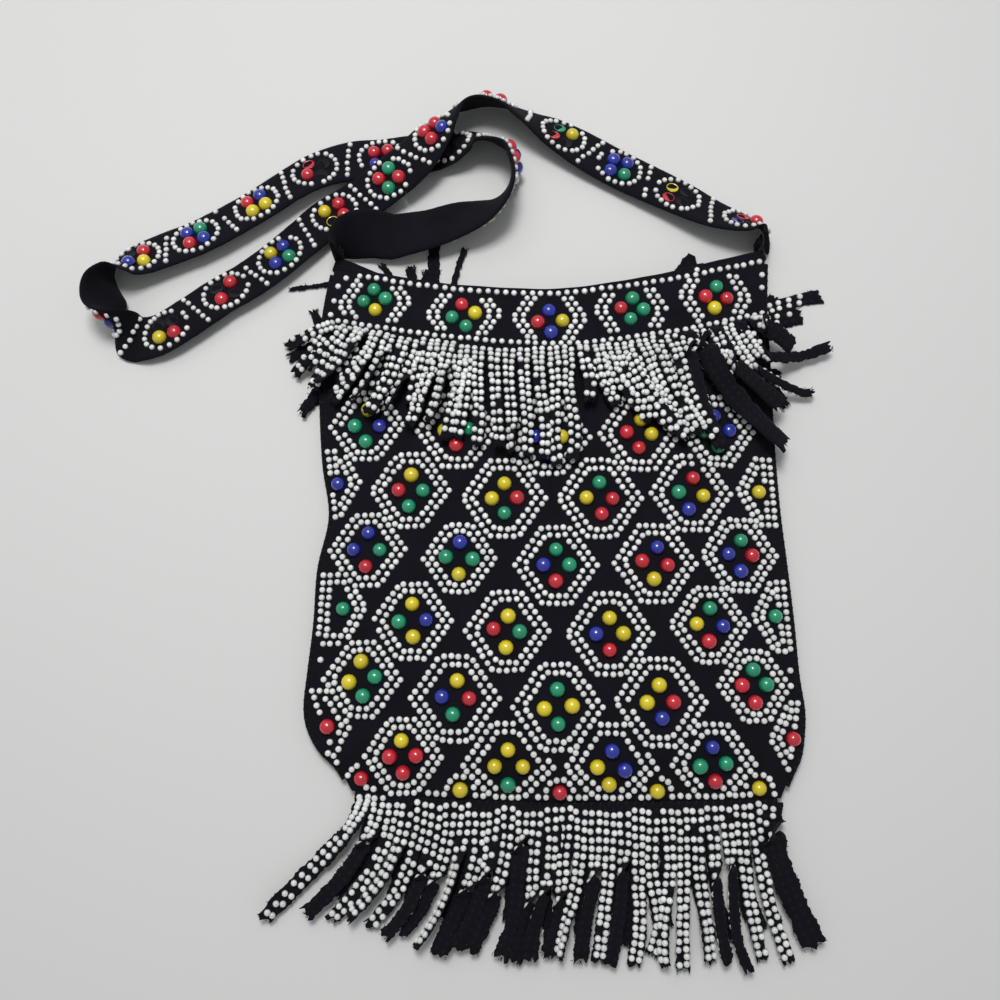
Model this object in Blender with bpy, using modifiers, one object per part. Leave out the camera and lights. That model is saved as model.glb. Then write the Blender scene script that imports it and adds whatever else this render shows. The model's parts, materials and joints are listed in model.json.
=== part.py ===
"""Beaded shoulder bag, lying on its back with its mouth towards +Y.

A flat cloth pouch has a crowned front wall, a lining, a cuff round the mouth and two fringes.
Dome beads stand on its cloth: large coloured ones in fours, each four inside a hexagonal ridge
that stands for two rows of small white beads. The flat beaded strap leaves the two mouth corners
and lies looped beside the mouth. The origin is the flat tip of a bead in the middle of the back,
on the surface that the bag lies on.
"""

import math
import random

import bmesh
import bpy
import numpy as np
from mathutils import Matrix, Vector

MM = 0.001
MERGE_DISTANCE = 0.01 * MM
SHARP_ANGLE = math.radians(40)

# Pouch outline. A place on the pouch is u, from -1 at its left edge to 1 at its right edge,
# and t, from 0 at its base to 1 at its mouth.
HALF_WIDTH = 121.5 * MM
BASE_DEPTH = 139.5 * MM
MOUTH_HEIGHT = 118.3 * MM
MOUTH_RISE_LEFT = 17.7 * MM
MOUTH_RISE_RIGHT = 24.2 * MM
BASE_RISE_LEFT = 5.0 * MM
BASE_RISE_RIGHT = 1.5 * MM
MOUTH_CURVE_POWER = 1.7
EDGE_SHARES = (
    (0.00, 0.82, 0.885),
    (0.04, 0.875, 0.93),
    (0.07, 0.945, 0.965),
    (0.11, 0.995, 0.983),
    (0.15, 1.01, 0.989),
    (0.21, 1.00, 0.975),
    (0.30, 0.983, 0.967),
    (0.40, 0.975, 0.953),
    (0.50, 0.935, 0.937),
    (0.60, 0.97, 0.93),
    (0.70, 0.99, 0.93),
    (0.80, 1.00, 0.932),
    (0.90, 0.997, 0.932),
    (1.00, 0.965, 0.948),
)

# Cloth walls
CLOTH = 1.2 * MM
LINING = 0.6 * MM
CLEARANCE = 0.3 * MM
INTERIOR_HEIGHT = 10.0 * MM
CROWN_POWER = 3.0
BASE_ROLL_SHARE = 0.16
MOUTH_FLATTEN_SHARE = 0.25
MOUTH_DROP_SHARE = 0.15
LINING_WIDTH_SHARE = 0.88
LINING_TOP_SHARE = 0.985
LINING_FIRST_ROW = 3
PANEL_COLUMNS = 14
PANEL_ROWS = 14
LINING_COLUMNS = 10
LOCATE_STEPS = 24
ROW_SPACING_POWER = 1.25

# Cuff, hems and seams
CUFF_BASE_SHARE = 0.882
HEM_HEIGHT = 5.0 * MM
SIDE_SEAM_RADIUS = 1.3 * MM
BASE_SEAM_RADIUS = 1.5 * MM

# Beadwork
BEAD_RADIUS = 3.9 * MM
BEAD_HEIGHT = 4.0 * MM
BEAD_SINK = 0.5 * MM
BEAD_SIDES = 6
BEAD_TIP_SHARE = 0.66
BEAD_SPREAD_SHARE = 0.835
COLOUR_STRIDES = (7, 3)
RIDGE_HEIGHT = 2.0 * MM
RIDGE_WIDTH = 6.4 * MM
RIDGE_TAPER = 0.8 * MM
RIDGE_SINK = 0.6 * MM
HEXAGON_WIDTH_SHARE = 0.428
HEXAGON_HEIGHT_SHARE = 0.57
HEXAGON_FLAT_SHARE = 0.5
EDGE_MARGIN = 2.0 * MM
ROW_SHARES = (0.063, 0.184, 0.313, 0.44, 0.567, 0.693)
LONG_ROW_SHARES = (-0.80, -0.40, 0.0, 0.40, 0.80)
SHORT_ROW_SHARES = (-0.62, -0.21, 0.21, 0.62)
CUFF_ROW_SHARE = 0.944
CUFF_COLUMN_SHARES = (-0.77, -0.37, 0.01, 0.38, 0.76)
BASE_ROW_SHARE = 0.022
BASE_COLUMN_SHARES = (-0.90, -0.46, -0.02, 0.42, 0.88)
CORNER_BEAD_SHARES = ((-0.915, 0.115), (0.94, 0.102))

# Fringes
STRIP_WIDTH = 7.3 * MM
STRIP_GAP = 0.7 * MM
STRIP_RAGGED = 9.0 * MM
TIP_NOTCH = 2.5 * MM
BASE_FRINGE_LENGTH = 70.0 * MM
BASE_FRINGE_BAND = 18.0 * MM
BASE_FAN_LEFT = math.radians(36)
BASE_FAN_RIGHT = math.radians(17)
BASE_FAN_POWER = 1.5
UPPER_FRINGE_LENGTH = 60.0 * MM
BACK_UPPER_FRINGE_LENGTH = 52.0 * MM
UPPER_FRINGE_BAND = 20.0 * MM
UPPER_FAN_LEFT = math.radians(46)
UPPER_FAN_RIGHT = math.radians(42)
UPPER_FAN_POWER = 4.5
BACK_FAN_SHARE = 0.45
UPPER_MIDDLE_SHARE = 0.60
FRINGE_EASE = 1.2 * MM
OVERHANG_START = 4.0 * MM
OVERHANG_SLOPE = 0.5
TURNED_STRIP_SHARE = -0.535
TURNED_STRIP_LENGTH = 56.0 * MM
TURNED_STRIP_WIDTH = 8.5 * MM
TURNED_STRIP_SHOWS = 22.0 * MM

# Strap. A point is its place across as a share of the half width, its place beyond the line
# between the mouth corners as a share of the reach, its roll in degrees, and its lift share.
STRAP_WIDTH = 26.0 * MM
STRAP_THICKNESS = 2.4 * MM
STRAP_REACH = 90.0 * MM
STRAP_CUT = 0.5 * MM
STRAP_STEP = 6.5 * MM
STRAP_SAMPLES = 8
STRAP_PITCH = 37.0 * MM
STRAP_FIRST = 44.0 * MM
STRAP_TILT_SHARE = 0.10
RIGHT_RUN_SHARES = (
    (0.940, 0.004, -90, 0),
    (0.940, 0.078, -90, 0),
    (0.912, 0.128, -84, 0),
    (0.848, 0.165, -70, 0),
    (0.720, 0.243, -48, 0),
    (0.561, 0.376, -30, 0),
    (0.293, 0.584, -28, 0),
    (0.044, 0.792, -45, 0),
    (-0.094, 0.892, -65, 0),
    (-0.198, 0.967, -80, 0),
    (-0.290, 0.998, -90, 0),
    (-0.367, 0.987, -90, 0),
    (-0.435, 0.942, -75, 0.1),
    (-0.488, 0.844, -50, 0.6),
    (-0.536, 0.745, -25, 1),
    (-0.617, 0.618, -10, 1),
    (-0.710, 0.518, -3, 0.9),
)
LOOP_SHARES = (
    (-0.872, 0.382, -5, 0.3),
    (-0.999, 0.297, -10, 0),
    (-1.115, 0.156, -15, 0),
    (-1.236, 0.011, -15, 0),
    (-1.351, -0.107, -15, 0),
    (-1.472, -0.206, -15, 0),
    (-1.599, -0.328, -15, 0),
    (-1.728, -0.435, -12, 0),
    (-1.838, -0.449, -4, 0),
    (-1.926, -0.388, 40, 0),
    (-1.984, -0.288, 85, 0),
    (-2.004, -0.187, 95, 0),
    (-1.974, -0.067, 70, 0),
    (-1.913, -0.007, 40, 0),
    (-1.834, 0.036, 25, 0),
    (-1.707, 0.108, 20, 0),
    (-1.584, 0.174, 20, 0),
    (-1.445, 0.275, 20, 0),
    (-1.314, 0.384, 20, 0),
    (-1.184, 0.506, 20, 0),
    (-1.059, 0.609, 15, 0),
    (-0.916, 0.670, 10, 0),
    (-0.778, 0.684, 6, 0),
)
LEFT_RUN_SHARES = (
    (-0.633, 0.708, 6, 0),
    (-0.505, 0.724, 14, 0),
    (-0.412, 0.752, 36, 0),
    (-0.343, 0.767, 60, 0),
    (-0.253, 0.730, 82, 0),
    (-0.194, 0.668, 90, 0),
    (-0.172, 0.566, 90, 0),
    (-0.176, 0.442, 100, 0),
    (-0.230, 0.330, 120, 0),
    (-0.319, 0.263, 145, 0),
    (-0.431, 0.224, 160, 0),
    (-0.542, 0.181, 166, 0),
    (-0.676, 0.152, 174, 0),
    (-0.741, 0.151, 190, 0),
    (-0.807, 0.151, 215, 0),
    (-0.864, 0.146, 245, 0),
    (-0.920, 0.130, 265, 0),
    (-0.955, 0.088, 270, 0),
    (-0.955, 0.002, 270, 0),
)
BARE_STRAP_SHARES = ((0.21, 0.255), (0.50, 0.57), (0.75, 0.87), (0.94, 1.0))
TAB_LENGTH = 5.0 * MM
TAB_HEIGHT = 14.0 * MM
TAB_THICKNESS = 1.4 * MM
STITCH_RADIUS = 0.35 * MM
STITCH_LENGTH = 9.0 * MM
STITCH_SPACING = 2.2 * MM

BACK_TOP = BEAD_HEIGHT + CLOTH
CLOTH_BLACK = (0.008, 0.008, 0.012)
MATERIALS = {
    # colour, roughness
    "black_cloth": (CLOTH_BLACK, 0.9),
    "lining_cloth": ((0.014, 0.014, 0.018), 0.7),
    "white_beads": ((0.76, 0.78, 0.74), 0.3),
    "red_beads": ((0.48, 0.01, 0.02), 0.15),
    "yellow_beads": ((0.75, 0.58, 0.01), 0.15),
    "green_beads": ((0.01, 0.26, 0.10), 0.15),
    "blue_beads": ((0.02, 0.03, 0.30), 0.15),
    "thread": ((0.02, 0.02, 0.024), 0.8),
}
BEADED_CLOTH = ("black_cloth", "white_beads", "red_beads", "yellow_beads", "green_beads", "blue_beads")


def clear_scene():
    for item in list(bpy.data.objects):
        bpy.data.objects.remove(item)


def new_collection(name):
    collection = bpy.data.collections.new(name)
    bpy.context.scene.collection.children.link(collection)
    return collection


def material(name):
    made = bpy.data.materials.get(name)
    if made is None:
        made = bpy.data.materials.new(name)
        made.use_nodes = True
        colour, roughness = MATERIALS[name]
        shader = made.node_tree.nodes["Principled BSDF"]
        shader.inputs["Base Color"].default_value = (*colour, 1)
        shader.inputs["Roughness"].default_value = roughness
        shader.inputs["Metallic"].default_value = 0
    return made


def add_object(name, bm, collection, materials, smooth=False):
    mesh = bpy.data.meshes.new(name)
    bm.to_mesh(mesh)
    bm.free()
    for slot in materials:
        mesh.materials.append(material(slot))
    made = bpy.data.objects.new(name, mesh)
    collection.objects.link(made)
    if smooth:
        mesh.shade_smooth()
        mesh.set_sharp_from_angle(angle=SHARP_ANGLE)
    return made


def solidify(item, thickness, offset):
    wall = item.modifiers.new("thickness", "SOLIDIFY")
    wall.thickness = thickness
    wall.offset = offset
    wall.use_even_offset = True


def edges(t):
    """Left and right edge of the pouch at t."""
    table = np.array(EDGE_SHARES)
    return (
        -HALF_WIDTH * float(np.interp(t, table[:, 0], table[:, 1])),
        HALF_WIDTH * float(np.interp(t, table[:, 0], table[:, 2])),
    )


def base_line(u):
    return -BASE_DEPTH + (BASE_RISE_LEFT if u < 0 else BASE_RISE_RIGHT) * u**2


def mouth_line(u):
    rise = MOUTH_RISE_LEFT if u < 0 else MOUTH_RISE_RIGHT
    return MOUTH_HEIGHT + rise * abs(u) ** MOUTH_CURVE_POWER


def place(u, t):
    """Plan position of u and t."""
    left, right = edges(t)
    return left + (right - left) * (u + 1) / 2, base_line(u) + (mouth_line(u) - base_line(u)) * t


def shares_at(x, y):
    """The u and t of a plan position, found by repeated correction."""
    u, t = 0.0, 0.5
    for _ in range(LOCATE_STEPS):
        left, right = edges(t)
        u = min(max(2 * (x - left) / (right - left) - 1, -1), 1)
        t = min(max((y - base_line(u)) / (mouth_line(u) - base_line(u)), 0), 1)
    return u, t


def interior(u, t):
    """Height between the two walls: crowned across, rolled down to the base, lower at the mouth."""
    roll = 1 - (1 - min(t / BASE_ROLL_SHARE, 1)) ** 2
    near_mouth = max(t - 1 + MOUTH_FLATTEN_SHARE, 0) / MOUTH_FLATTEN_SHARE
    roll *= 1 - MOUTH_DROP_SHARE * near_mouth**2
    return CLEARANCE + (INTERIOR_HEIGHT - CLEARANCE) * (1 - abs(u) ** CROWN_POWER) * roll


def front_outside(u, t):
    return BACK_TOP + interior(u, t) + CLOTH


def front_lining_outside(u, t):
    return BACK_TOP + interior(u, t) - CLEARANCE


def back_inside(u, t):
    return BACK_TOP


def back_lining_inside(u, t):
    return BACK_TOP + CLEARANCE + LINING


def front_height(x, y):
    return front_outside(*shares_at(x, y))


def row_shares(t0, t1, rows, power):
    return [t0 + (t1 - t0) * (i / rows) ** power for i in range(rows + 1)]


PANEL_ROW_SHARES = row_shares(0, CUFF_BASE_SHARE, PANEL_ROWS, ROW_SPACING_POWER)
CUFF_ROW_SHARES = row_shares(CUFF_BASE_SHARE, 1, 2, 1)
LINING_ROW_SHARES = PANEL_ROW_SHARES[LINING_FIRST_ROW:] + [CUFF_ROW_SHARES[1], LINING_TOP_SHARE]


def shell(name, collection, materials, top, thickness, width_share, columns, rows, shift=0):
    """An open grid laid on the upper surface of a wall, and given its thickness downwards."""
    bm = bmesh.new()
    count = len(rows) - 1
    bmesh.ops.create_grid(bm, x_segments=columns, y_segments=count, size=1)
    for v in bm.verts:
        u = width_share * v.co.x
        t = rows[round((v.co.y + 1) / 2 * count)]
        x, y = place(u, t)
        v.co = Vector((x, y + shift, top(u, t)))
    made = add_object(name, bm, collection, materials, smooth=True)
    solidify(made, thickness, -1)
    return made


def union(item, bm, cutters):
    """Unites loose shapes with the object, so that it stays one body."""
    tool = add_object(item.name + "_beads", bm, cutters, BEADED_CLOTH)
    tool.hide_render = True
    tool.display_type = "WIRE"
    joined = item.modifiers.new("beads", "BOOLEAN")
    joined.operation = "UNION"
    joined.solver = "EXACT"
    joined.use_self = True
    joined.object = tool


def dome(bm, centre, axes, height, colour):
    """A bead as a cone primitive with a flat tip, whose foot is pressed into the cloth."""
    made = bmesh.ops.create_cone(
        bm, cap_ends=True, segments=BEAD_SIDES, radius1=1, radius2=BEAD_TIP_SHARE, depth=1
    )
    along, across, out = (Vector(axis) for axis in axes)
    for v in made["verts"]:
        z = height if v.co.z > 0 else -BEAD_SINK
        v.co = Vector(centre) + (along * v.co.x + across * v.co.y) * BEAD_RADIUS + out * z
        for face in v.link_faces:
            face.material_index = colour


UP = ((1, 0, 0), (0, 1, 0), (0, 0, 1))
DOWN = ((1, 0, 0), (0, -1, 0), (0, 0, -1))


def ridge(bm, outline):
    """A closed flat-topped ring inside an outline, which follows the front's surface."""
    centre = sum((Vector(p) for p in outline), Vector((0, 0))) / len(outline)
    reach = max((Vector(p) - centre).length for p in outline)
    inner, taper = 1 - RIDGE_WIDTH / reach, RIDGE_TAPER / reach
    sections = (
        (1, -RIDGE_SINK),
        (1 - taper, RIDGE_HEIGHT),
        (inner + taper, RIDGE_HEIGHT),
        (inner, -RIDGE_SINK),
    )
    rings = []
    for scale, rise in sections:
        spots = [centre + (Vector(p) - centre) * scale for p in outline]
        rings.append([bm.verts.new((x, y, front_height(x, y) + rise)) for x, y in spots])
    faces = []
    for a, b in zip(rings, rings[1:] + rings[:1]):
        for i in range(len(outline)):
            j = (i + 1) % len(outline)
            faces.append(bm.faces.new((a[i], a[j], b[j], b[i])))
            faces[-1].material_index = 1
    bmesh.ops.recalc_face_normals(bm, faces=faces)


def hexagon_half_sizes():
    column_pitch = HALF_WIDTH * (LONG_ROW_SHARES[1] - LONG_ROW_SHARES[0])
    row_pitch = (BASE_DEPTH + MOUTH_HEIGHT) * (ROW_SHARES[3] - ROW_SHARES[2])
    return column_pitch * HEXAGON_WIDTH_SHARE, row_pitch * HEXAGON_HEIGHT_SHARE


def hexagon(x, y):
    """Six corners of a ring, kept on the cloth where it comes to the base."""
    wide, high = hexagon_half_sizes()
    flat = wide * HEXAGON_FLAT_SHARE
    lowest = base_line(x / HALF_WIDTH) + EDGE_MARGIN
    corners = ((wide, 0), (flat, high), (-flat, high), (-wide, 0), (-flat, -high), (flat, -high))
    return [(x + a, max(y + b, lowest)) for a, b in corners]


def half_hexagon(t, side):
    """Five corners of a ring whose long side runs along the pouch's left or right edge."""
    wide, high = hexagon_half_sizes()
    middle = place(side, t)[1]
    outer = edges(t)[0 if side < 0 else 1] - side * EDGE_MARGIN
    flat = outer - side * wide * HEXAGON_FLAT_SHARE
    tip = outer - side * wide
    return [(outer, middle + high), (flat, middle + high), (tip, middle), (flat, middle - high),
            (outer, middle - high)]


def bead_spread():
    """How far the beads of a four stand from its middle, across and along, clear of the ring's inside."""
    wide, high = hexagon_half_sizes()
    inner_wide = wide - RIDGE_WIDTH
    inner_high = high * inner_wide / wide
    need = BEAD_RADIUS + CLEARANCE
    slope = math.atan2(inner_high, inner_wide * (1 - HEXAGON_FLAT_SHARE))
    return (inner_wide - need / math.sin(slope)) * BEAD_SPREAD_SHARE, inner_high - need


def four_offsets():
    across, along = bead_spread()
    return ((0, along), (-across, 0), (across, 0), (0, -along))


def colour_at(x, y):
    """A scattered choice among the four bead colours."""
    across, along = COLOUR_STRIDES
    return 2 + round(abs(across * x + along * y) / BEAD_RADIUS) % 4


def front_beadwork():
    bm = bmesh.new()
    singles = [place(u, BASE_ROW_SHARE) for u in BASE_COLUMN_SHARES]
    singles += [place(u, t) for u, t in CORNER_BEAD_SHARES]
    for index, t in enumerate(ROW_SHARES):
        for u in LONG_ROW_SHARES if index % 2 else SHORT_ROW_SHARES:
            x, y = place(u, t)
            ridge(bm, hexagon(x, y))
            singles += [(x + a, y + b) for a, b in four_offsets()]
        if index and index % 2 == 0:
            for side in (-1, 1):
                outline = half_hexagon(t, side)
                ridge(bm, outline)
                singles.append(tuple(sum(p[k] for p in outline) / len(outline) for k in (0, 1)))
    for x, y in singles:
        dome(bm, (x, y, front_height(x, y)), UP, BEAD_HEIGHT, colour_at(x, y))
    return bm


def cuff_beadwork(front):
    bm = bmesh.new()
    for u in CUFF_COLUMN_SHARES:
        x, y = place(u, CUFF_ROW_SHARE)
        for a, b in four_offsets():
            z = front_height(x + a, y + b) if front else BEAD_HEIGHT
            dome(bm, (x + a, y + b, z), UP if front else DOWN, BEAD_HEIGHT, colour_at(x + a, y + b))
    return bm


def back_beadwork():
    """A regular pattern of fours, one of whose beads has its tip at the origin."""
    bm = bmesh.new()
    wide, high = hexagon_half_sizes()
    column_pitch, row_pitch = wide / HEXAGON_WIDTH_SHARE, high / HEXAGON_HEIGHT_SHARE
    fringe_tips = place(0, CUFF_BASE_SHARE)[1] - CLEARANCE - BACK_UPPER_FRINGE_LENGTH
    shift = four_offsets()[0][1]
    rows = int((BASE_DEPTH - shift) / row_pitch)
    for row in range(-rows, rows):
        columns = (-2, -1, 0, 1, 2) if row % 2 == 0 else (-1.5, -0.5, 0.5, 1.5)
        for column in columns:
            for a, b in four_offsets():
                x, y = column * column_pitch + a, row * row_pitch - shift + b
                if -BASE_DEPTH + 2 * BEAD_RADIUS < y < fringe_tips - BEAD_RADIUS:
                    dome(bm, (x, y, BEAD_HEIGHT), DOWN, BEAD_HEIGHT, colour_at(x, y))
    return bm


def make_walls(parts, cutters):
    cloth = BEADED_CLOTH
    sizes = (1, PANEL_COLUMNS)
    back = shell("back_panel", parts, cloth, back_inside, CLOTH, *sizes, PANEL_ROW_SHARES)
    union(back, back_beadwork(), cutters)
    front = shell("front_panel", parts, cloth, front_outside, CLOTH, *sizes, PANEL_ROW_SHARES)
    union(front, front_beadwork(), cutters)
    for name, top, is_front in (("back_cuff", back_inside, False), ("front_cuff", front_outside, True)):
        cuff = shell(name, parts, cloth, top, CLOTH, *sizes, CUFF_ROW_SHARES, shift=CLEARANCE)
        union(cuff, cuff_beadwork(is_front), cutters)
    for name, top in (("back_lining", back_lining_inside), ("front_lining", front_lining_outside)):
        shell(name, parts, ("lining_cloth",), top, LINING, LINING_WIDTH_SHARE, LINING_COLUMNS, LINING_ROW_SHARES)


def make_hem(name, parts, top):
    """A folded band just beyond the mouth edge of one wall."""
    bm = bmesh.new()
    bmesh.ops.create_grid(bm, x_segments=PANEL_COLUMNS, y_segments=1, size=1)
    for v in bm.verts:
        u, beyond = v.co.x, HEM_HEIGHT * (v.co.y + 1) / 2
        x, y = place(u, 1)
        v.co = Vector((x, y + 2 * CLEARANCE + beyond, top(u, 1)))
    solidify(add_object(name, bm, parts, ("black_cloth",)), CLOTH, -1)


def tube(name, parts, slot, points, radius, resolution=1):
    """A POLY curve with a round bevel and filled caps."""
    data = bpy.data.curves.new(name, "CURVE")
    data.dimensions = "3D"
    data.bevel_depth = radius
    data.bevel_resolution = resolution
    data.use_fill_caps = True
    spline = data.splines.new("POLY")
    spline.points.add(len(points) - 1)
    for target, point in zip(spline.points, points):
        target.co = (*point, 1)
    data.materials.append(material(slot))
    parts.objects.link(bpy.data.objects.new(name, data))


def make_seams(parts):
    level = BACK_TOP + CLEARANCE / 2
    out = CLEARANCE + SIDE_SEAM_RADIUS
    for name, side in (("left_side_seam", -1), ("right_side_seam", 1)):
        points = [place(side, t) for t in PANEL_ROW_SHARES[2:] + CUFF_ROW_SHARES[1:]]
        tube(name, parts, "black_cloth", [(x + side * out, y, level) for x, y in points], SIDE_SEAM_RADIUS)
    drop = CLEARANCE + BASE_SEAM_RADIUS
    points = [place(-1 + 2 * i / PANEL_COLUMNS, 0) for i in range(PANEL_COLUMNS + 1)]
    tube("bottom_seam", parts, "black_cloth", [(x, y - drop, level) for x, y in points], BASE_SEAM_RADIUS)


def comb_outline(roots, shares, band, length, lean_at, seed):
    """Outline of a fringe: a band whose lower side is cut into strips, each leaning its own way."""
    chance = random.Random(seed)
    lower = []
    for i in range(len(roots) - 1):
        lean = lean_at((shares[i] + shares[i + 1]) / 2)
        along = Vector((math.sin(lean), -math.cos(lean)))
        half = Vector((math.cos(lean), math.sin(lean))) * STRIP_WIDTH / 2
        middle = (Vector(roots[i]) + Vector(roots[i + 1])) / 2
        start = middle + along * band
        end = middle + along * (length - TIP_NOTCH - STRIP_RAGGED * chance.random())
        lower += [start - half, end - half, end + along * TIP_NOTCH, end + half, start + half]
    return [Vector(p) for p in roots] + lower[::-1]


def cut_cloth(name, parts, outline, level, materials):
    """A flat outline, filled and extruded to the cloth's thickness, laid at the level of each point."""
    data = bpy.data.curves.new(name, "CURVE")
    data.dimensions = "2D"
    data.fill_mode = "BOTH"
    data.extrude = CLOTH / 2
    spline = data.splines.new("POLY")
    spline.points.add(len(outline) - 1)
    spline.use_cyclic_u = True
    for target, point in zip(spline.points, outline):
        target.co = (point[0], point[1], 0, 1)
    flat = bpy.data.objects.new(name + "_outline", data)
    parts.objects.link(flat)
    graph = bpy.context.evaluated_depsgraph_get()
    solid = bpy.data.meshes.new_from_object(flat.evaluated_get(graph))
    bm = bmesh.new()
    bm.from_mesh(solid)
    bmesh.ops.remove_doubles(bm, verts=bm.verts, dist=MERGE_DISTANCE)
    for v in bm.verts:
        v.co.z += level(v.co.x, v.co.y) + CLOTH / 2
    bmesh.ops.recalc_face_normals(bm, faces=bm.faces)
    bpy.data.objects.remove(flat)
    bpy.data.meshes.remove(solid)
    return add_object(name, bm, parts, materials)


def fringe(name, parts, span, t, drop, band, length, lean_at, seed, level):
    first, last = place(span[0], t), place(span[1], t)
    count = int((last[0] - first[0]) / (STRIP_WIDTH + STRIP_GAP))
    shares = [span[0] + (span[1] - span[0]) * i / count for i in range(count + 1)]
    spots = [place(u, t) for u in shares]
    roots = [(x, y - drop) for x, y in spots]
    roots[0] = (roots[0][0] + STRIP_GAP / 2, roots[0][1])
    roots[-1] = (roots[-1][0] - STRIP_GAP / 2, roots[-1][1])
    outline = comb_outline(roots, shares, band, length, lean_at, seed)
    cut_cloth(name, parts, outline, level, ("black_cloth",))


def base_lean(u):
    return (-BASE_FAN_LEFT if u < 0 else BASE_FAN_RIGHT) * abs(u) ** BASE_FAN_POWER


def upper_lean(u):
    return (-UPPER_FAN_LEFT if u < 0 else UPPER_FAN_RIGHT) * abs(u) ** UPPER_FAN_POWER


def make_base_fringe(parts):
    """Front and back fringes below the bottom seam, sloping from it down to the table."""
    drop = 2 * CLEARANCE + 2 * BASE_SEAM_RADIUS
    root = -BASE_DEPTH - drop
    fall = (BACK_TOP - CLOTH) / BASE_FRINGE_LENGTH
    layers = (("bottom_fringe_front", BACK_TOP + CLEARANCE, 5), ("bottom_fringe_back", BACK_TOP - CLOTH, 11))
    for name, start, seed in layers:
        fringe(
            name, parts, (-1, 1), 0, drop, BASE_FRINGE_BAND, BASE_FRINGE_LENGTH, base_lean, seed,
            lambda x, y, start=start: start - fall * (root - y),
        )


def upper_fringe_level(x, y):
    """On the cloth at the root, over the beads below it, and down towards the table outside the pouch."""
    u, t = shares_at(x, y)
    edge, root = place(u, t)[0], place(u, CUFF_BASE_SHARE)[1]
    rise = min(max((root - y) / UPPER_FRINGE_BAND, 0), 1)
    outside = max(abs(x) - abs(edge) - OVERHANG_START, 0)
    over = front_outside(u, t) + CLEARANCE + (BEAD_HEIGHT + FRINGE_EASE) * rise
    return max(over - outside * OVERHANG_SLOPE, BEAD_HEIGHT)


def back_fringe_level(x, y):
    return BEAD_HEIGHT - CLEARANCE - CLOTH


def back_lean(u):
    return BACK_FAN_SHARE * upper_lean(u)


def make_upper_fringe(parts):
    middle = UPPER_MIDDLE_SHARE
    sections = (
        ("upper_fringe_left", (-1, -middle), UPPER_FRINGE_LENGTH, upper_lean, 21, upper_fringe_level),
        ("upper_fringe_middle", (-middle, middle), UPPER_FRINGE_LENGTH, upper_lean, 22, upper_fringe_level),
        ("upper_fringe_right", (middle, 1), UPPER_FRINGE_LENGTH, upper_lean, 23, upper_fringe_level),
        ("back_upper_fringe", (-1, 1), BACK_UPPER_FRINGE_LENGTH, back_lean, 24, back_fringe_level),
    )
    for name, span, length, lean, seed, level in sections:
        fringe(name, parts, span, CUFF_BASE_SHARE, CLEARANCE, UPPER_FRINGE_BAND, length, lean, seed, level)


def make_turned_strip(parts):
    """A strip of the back fringe that is turned up under the back cuff and shows beyond the mouth."""
    x, mouth = place(TURNED_STRIP_SHARE, 1)
    mouth += 2 * CLEARANCE + HEM_HEIGHT
    top, half = mouth + TURNED_STRIP_SHOWS, TURNED_STRIP_WIDTH / 2
    corners = (
        (x - half, mouth), (x - half, top - TIP_NOTCH), (x, top), (x + half, top - TIP_NOTCH),
        (x + half, mouth), (x + half, top - TURNED_STRIP_LENGTH), (x - half, top - TURNED_STRIP_LENGTH),
    )

    def level(x, y):
        under = BEAD_HEIGHT - CLEARANCE - CLOTH
        return under * min(max((top - y) / TURNED_STRIP_SHOWS, 0), 1)

    cut_cloth("turned_back_strip", parts, corners, level, ("black_cloth",))


def smooth_curve(table, where):
    """Columns of a table at fractional rows, along a smooth curve through the rows."""
    last = len(table) - 1
    i = np.clip(np.floor(where).astype(int), 0, last - 1)
    s = (where - i)[:, None]
    a, b = table[i], table[i + 1]
    before, after = table[np.clip(i - 1, 0, last)], table[np.clip(i + 2, 0, last)]
    bend = (2 * before - 5 * a + 4 * b - after) * s**2 + (3 * a - before - 3 * b + after) * s**3
    return (2 * a + (b - before) * s + bend) / 2


def strap_curve():
    """Centres, travel and face directions along the strap, and how far along it each lies.

    A centre stands so high that the band's lower edge, or its beads where they face down, touch
    the table. The face turns from straight up towards the left-hand side by the roll."""
    table = np.array(RIGHT_RUN_SHARES + LOOP_SHARES + LEFT_RUN_SHARES, float)
    where = np.linspace(0, len(table) - 1, STRAP_SAMPLES * (len(table) - 1) + 1)
    across, beyond, roll, lift = smooth_curve(table, where).T
    roll = np.radians(roll)
    middle = MOUTH_HEIGHT + HEM_HEIGHT + 2 * CLEARANCE + (MOUTH_RISE_LEFT + MOUTH_RISE_RIGHT) / 2
    slant = (MOUTH_RISE_RIGHT - MOUTH_RISE_LEFT) / 2
    full_lift = STRAP_THICKNESS + BEAD_HEIGHT + 2 * CLEARANCE + STRAP_TILT_SHARE * STRAP_WIDTH
    z = np.abs(np.sin(roll)) * STRAP_WIDTH / 2 + np.abs(np.cos(roll)) * STRAP_THICKNESS / 2
    z += np.clip(-np.cos(roll), 0, 1) * BEAD_HEIGHT + np.clip(lift, 0, 1) * full_lift
    centres = np.stack([across * HALF_WIDTH, middle + across * slant + beyond * STRAP_REACH, z], 1)
    travel = np.gradient(centres, axis=0)
    travel[:, 2] = 0
    travel /= np.linalg.norm(travel, axis=1)[:, None]
    left = np.stack([-travel[:, 1], travel[:, 0], 0 * z], 1)
    face = np.cos(roll)[:, None] * np.array([0, 0, 1]) + np.sin(roll)[:, None] * left
    steps = np.linalg.norm(np.diff(centres, axis=0), axis=1)
    distance = np.concatenate([[0], np.cumsum(steps)])
    return distance, centres, travel, face


def strap_at(curve, s):
    """Centre, travel, across and face of the strap at a distance along it."""
    distance, *columns = curve
    centre, travel, face = (
        np.array([np.interp(s, distance, column[:, k]) for k in range(3)]) for column in columns
    )
    face /= np.linalg.norm(face)
    travel /= np.linalg.norm(travel)
    return centre, travel, np.cross(travel, face), face


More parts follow.
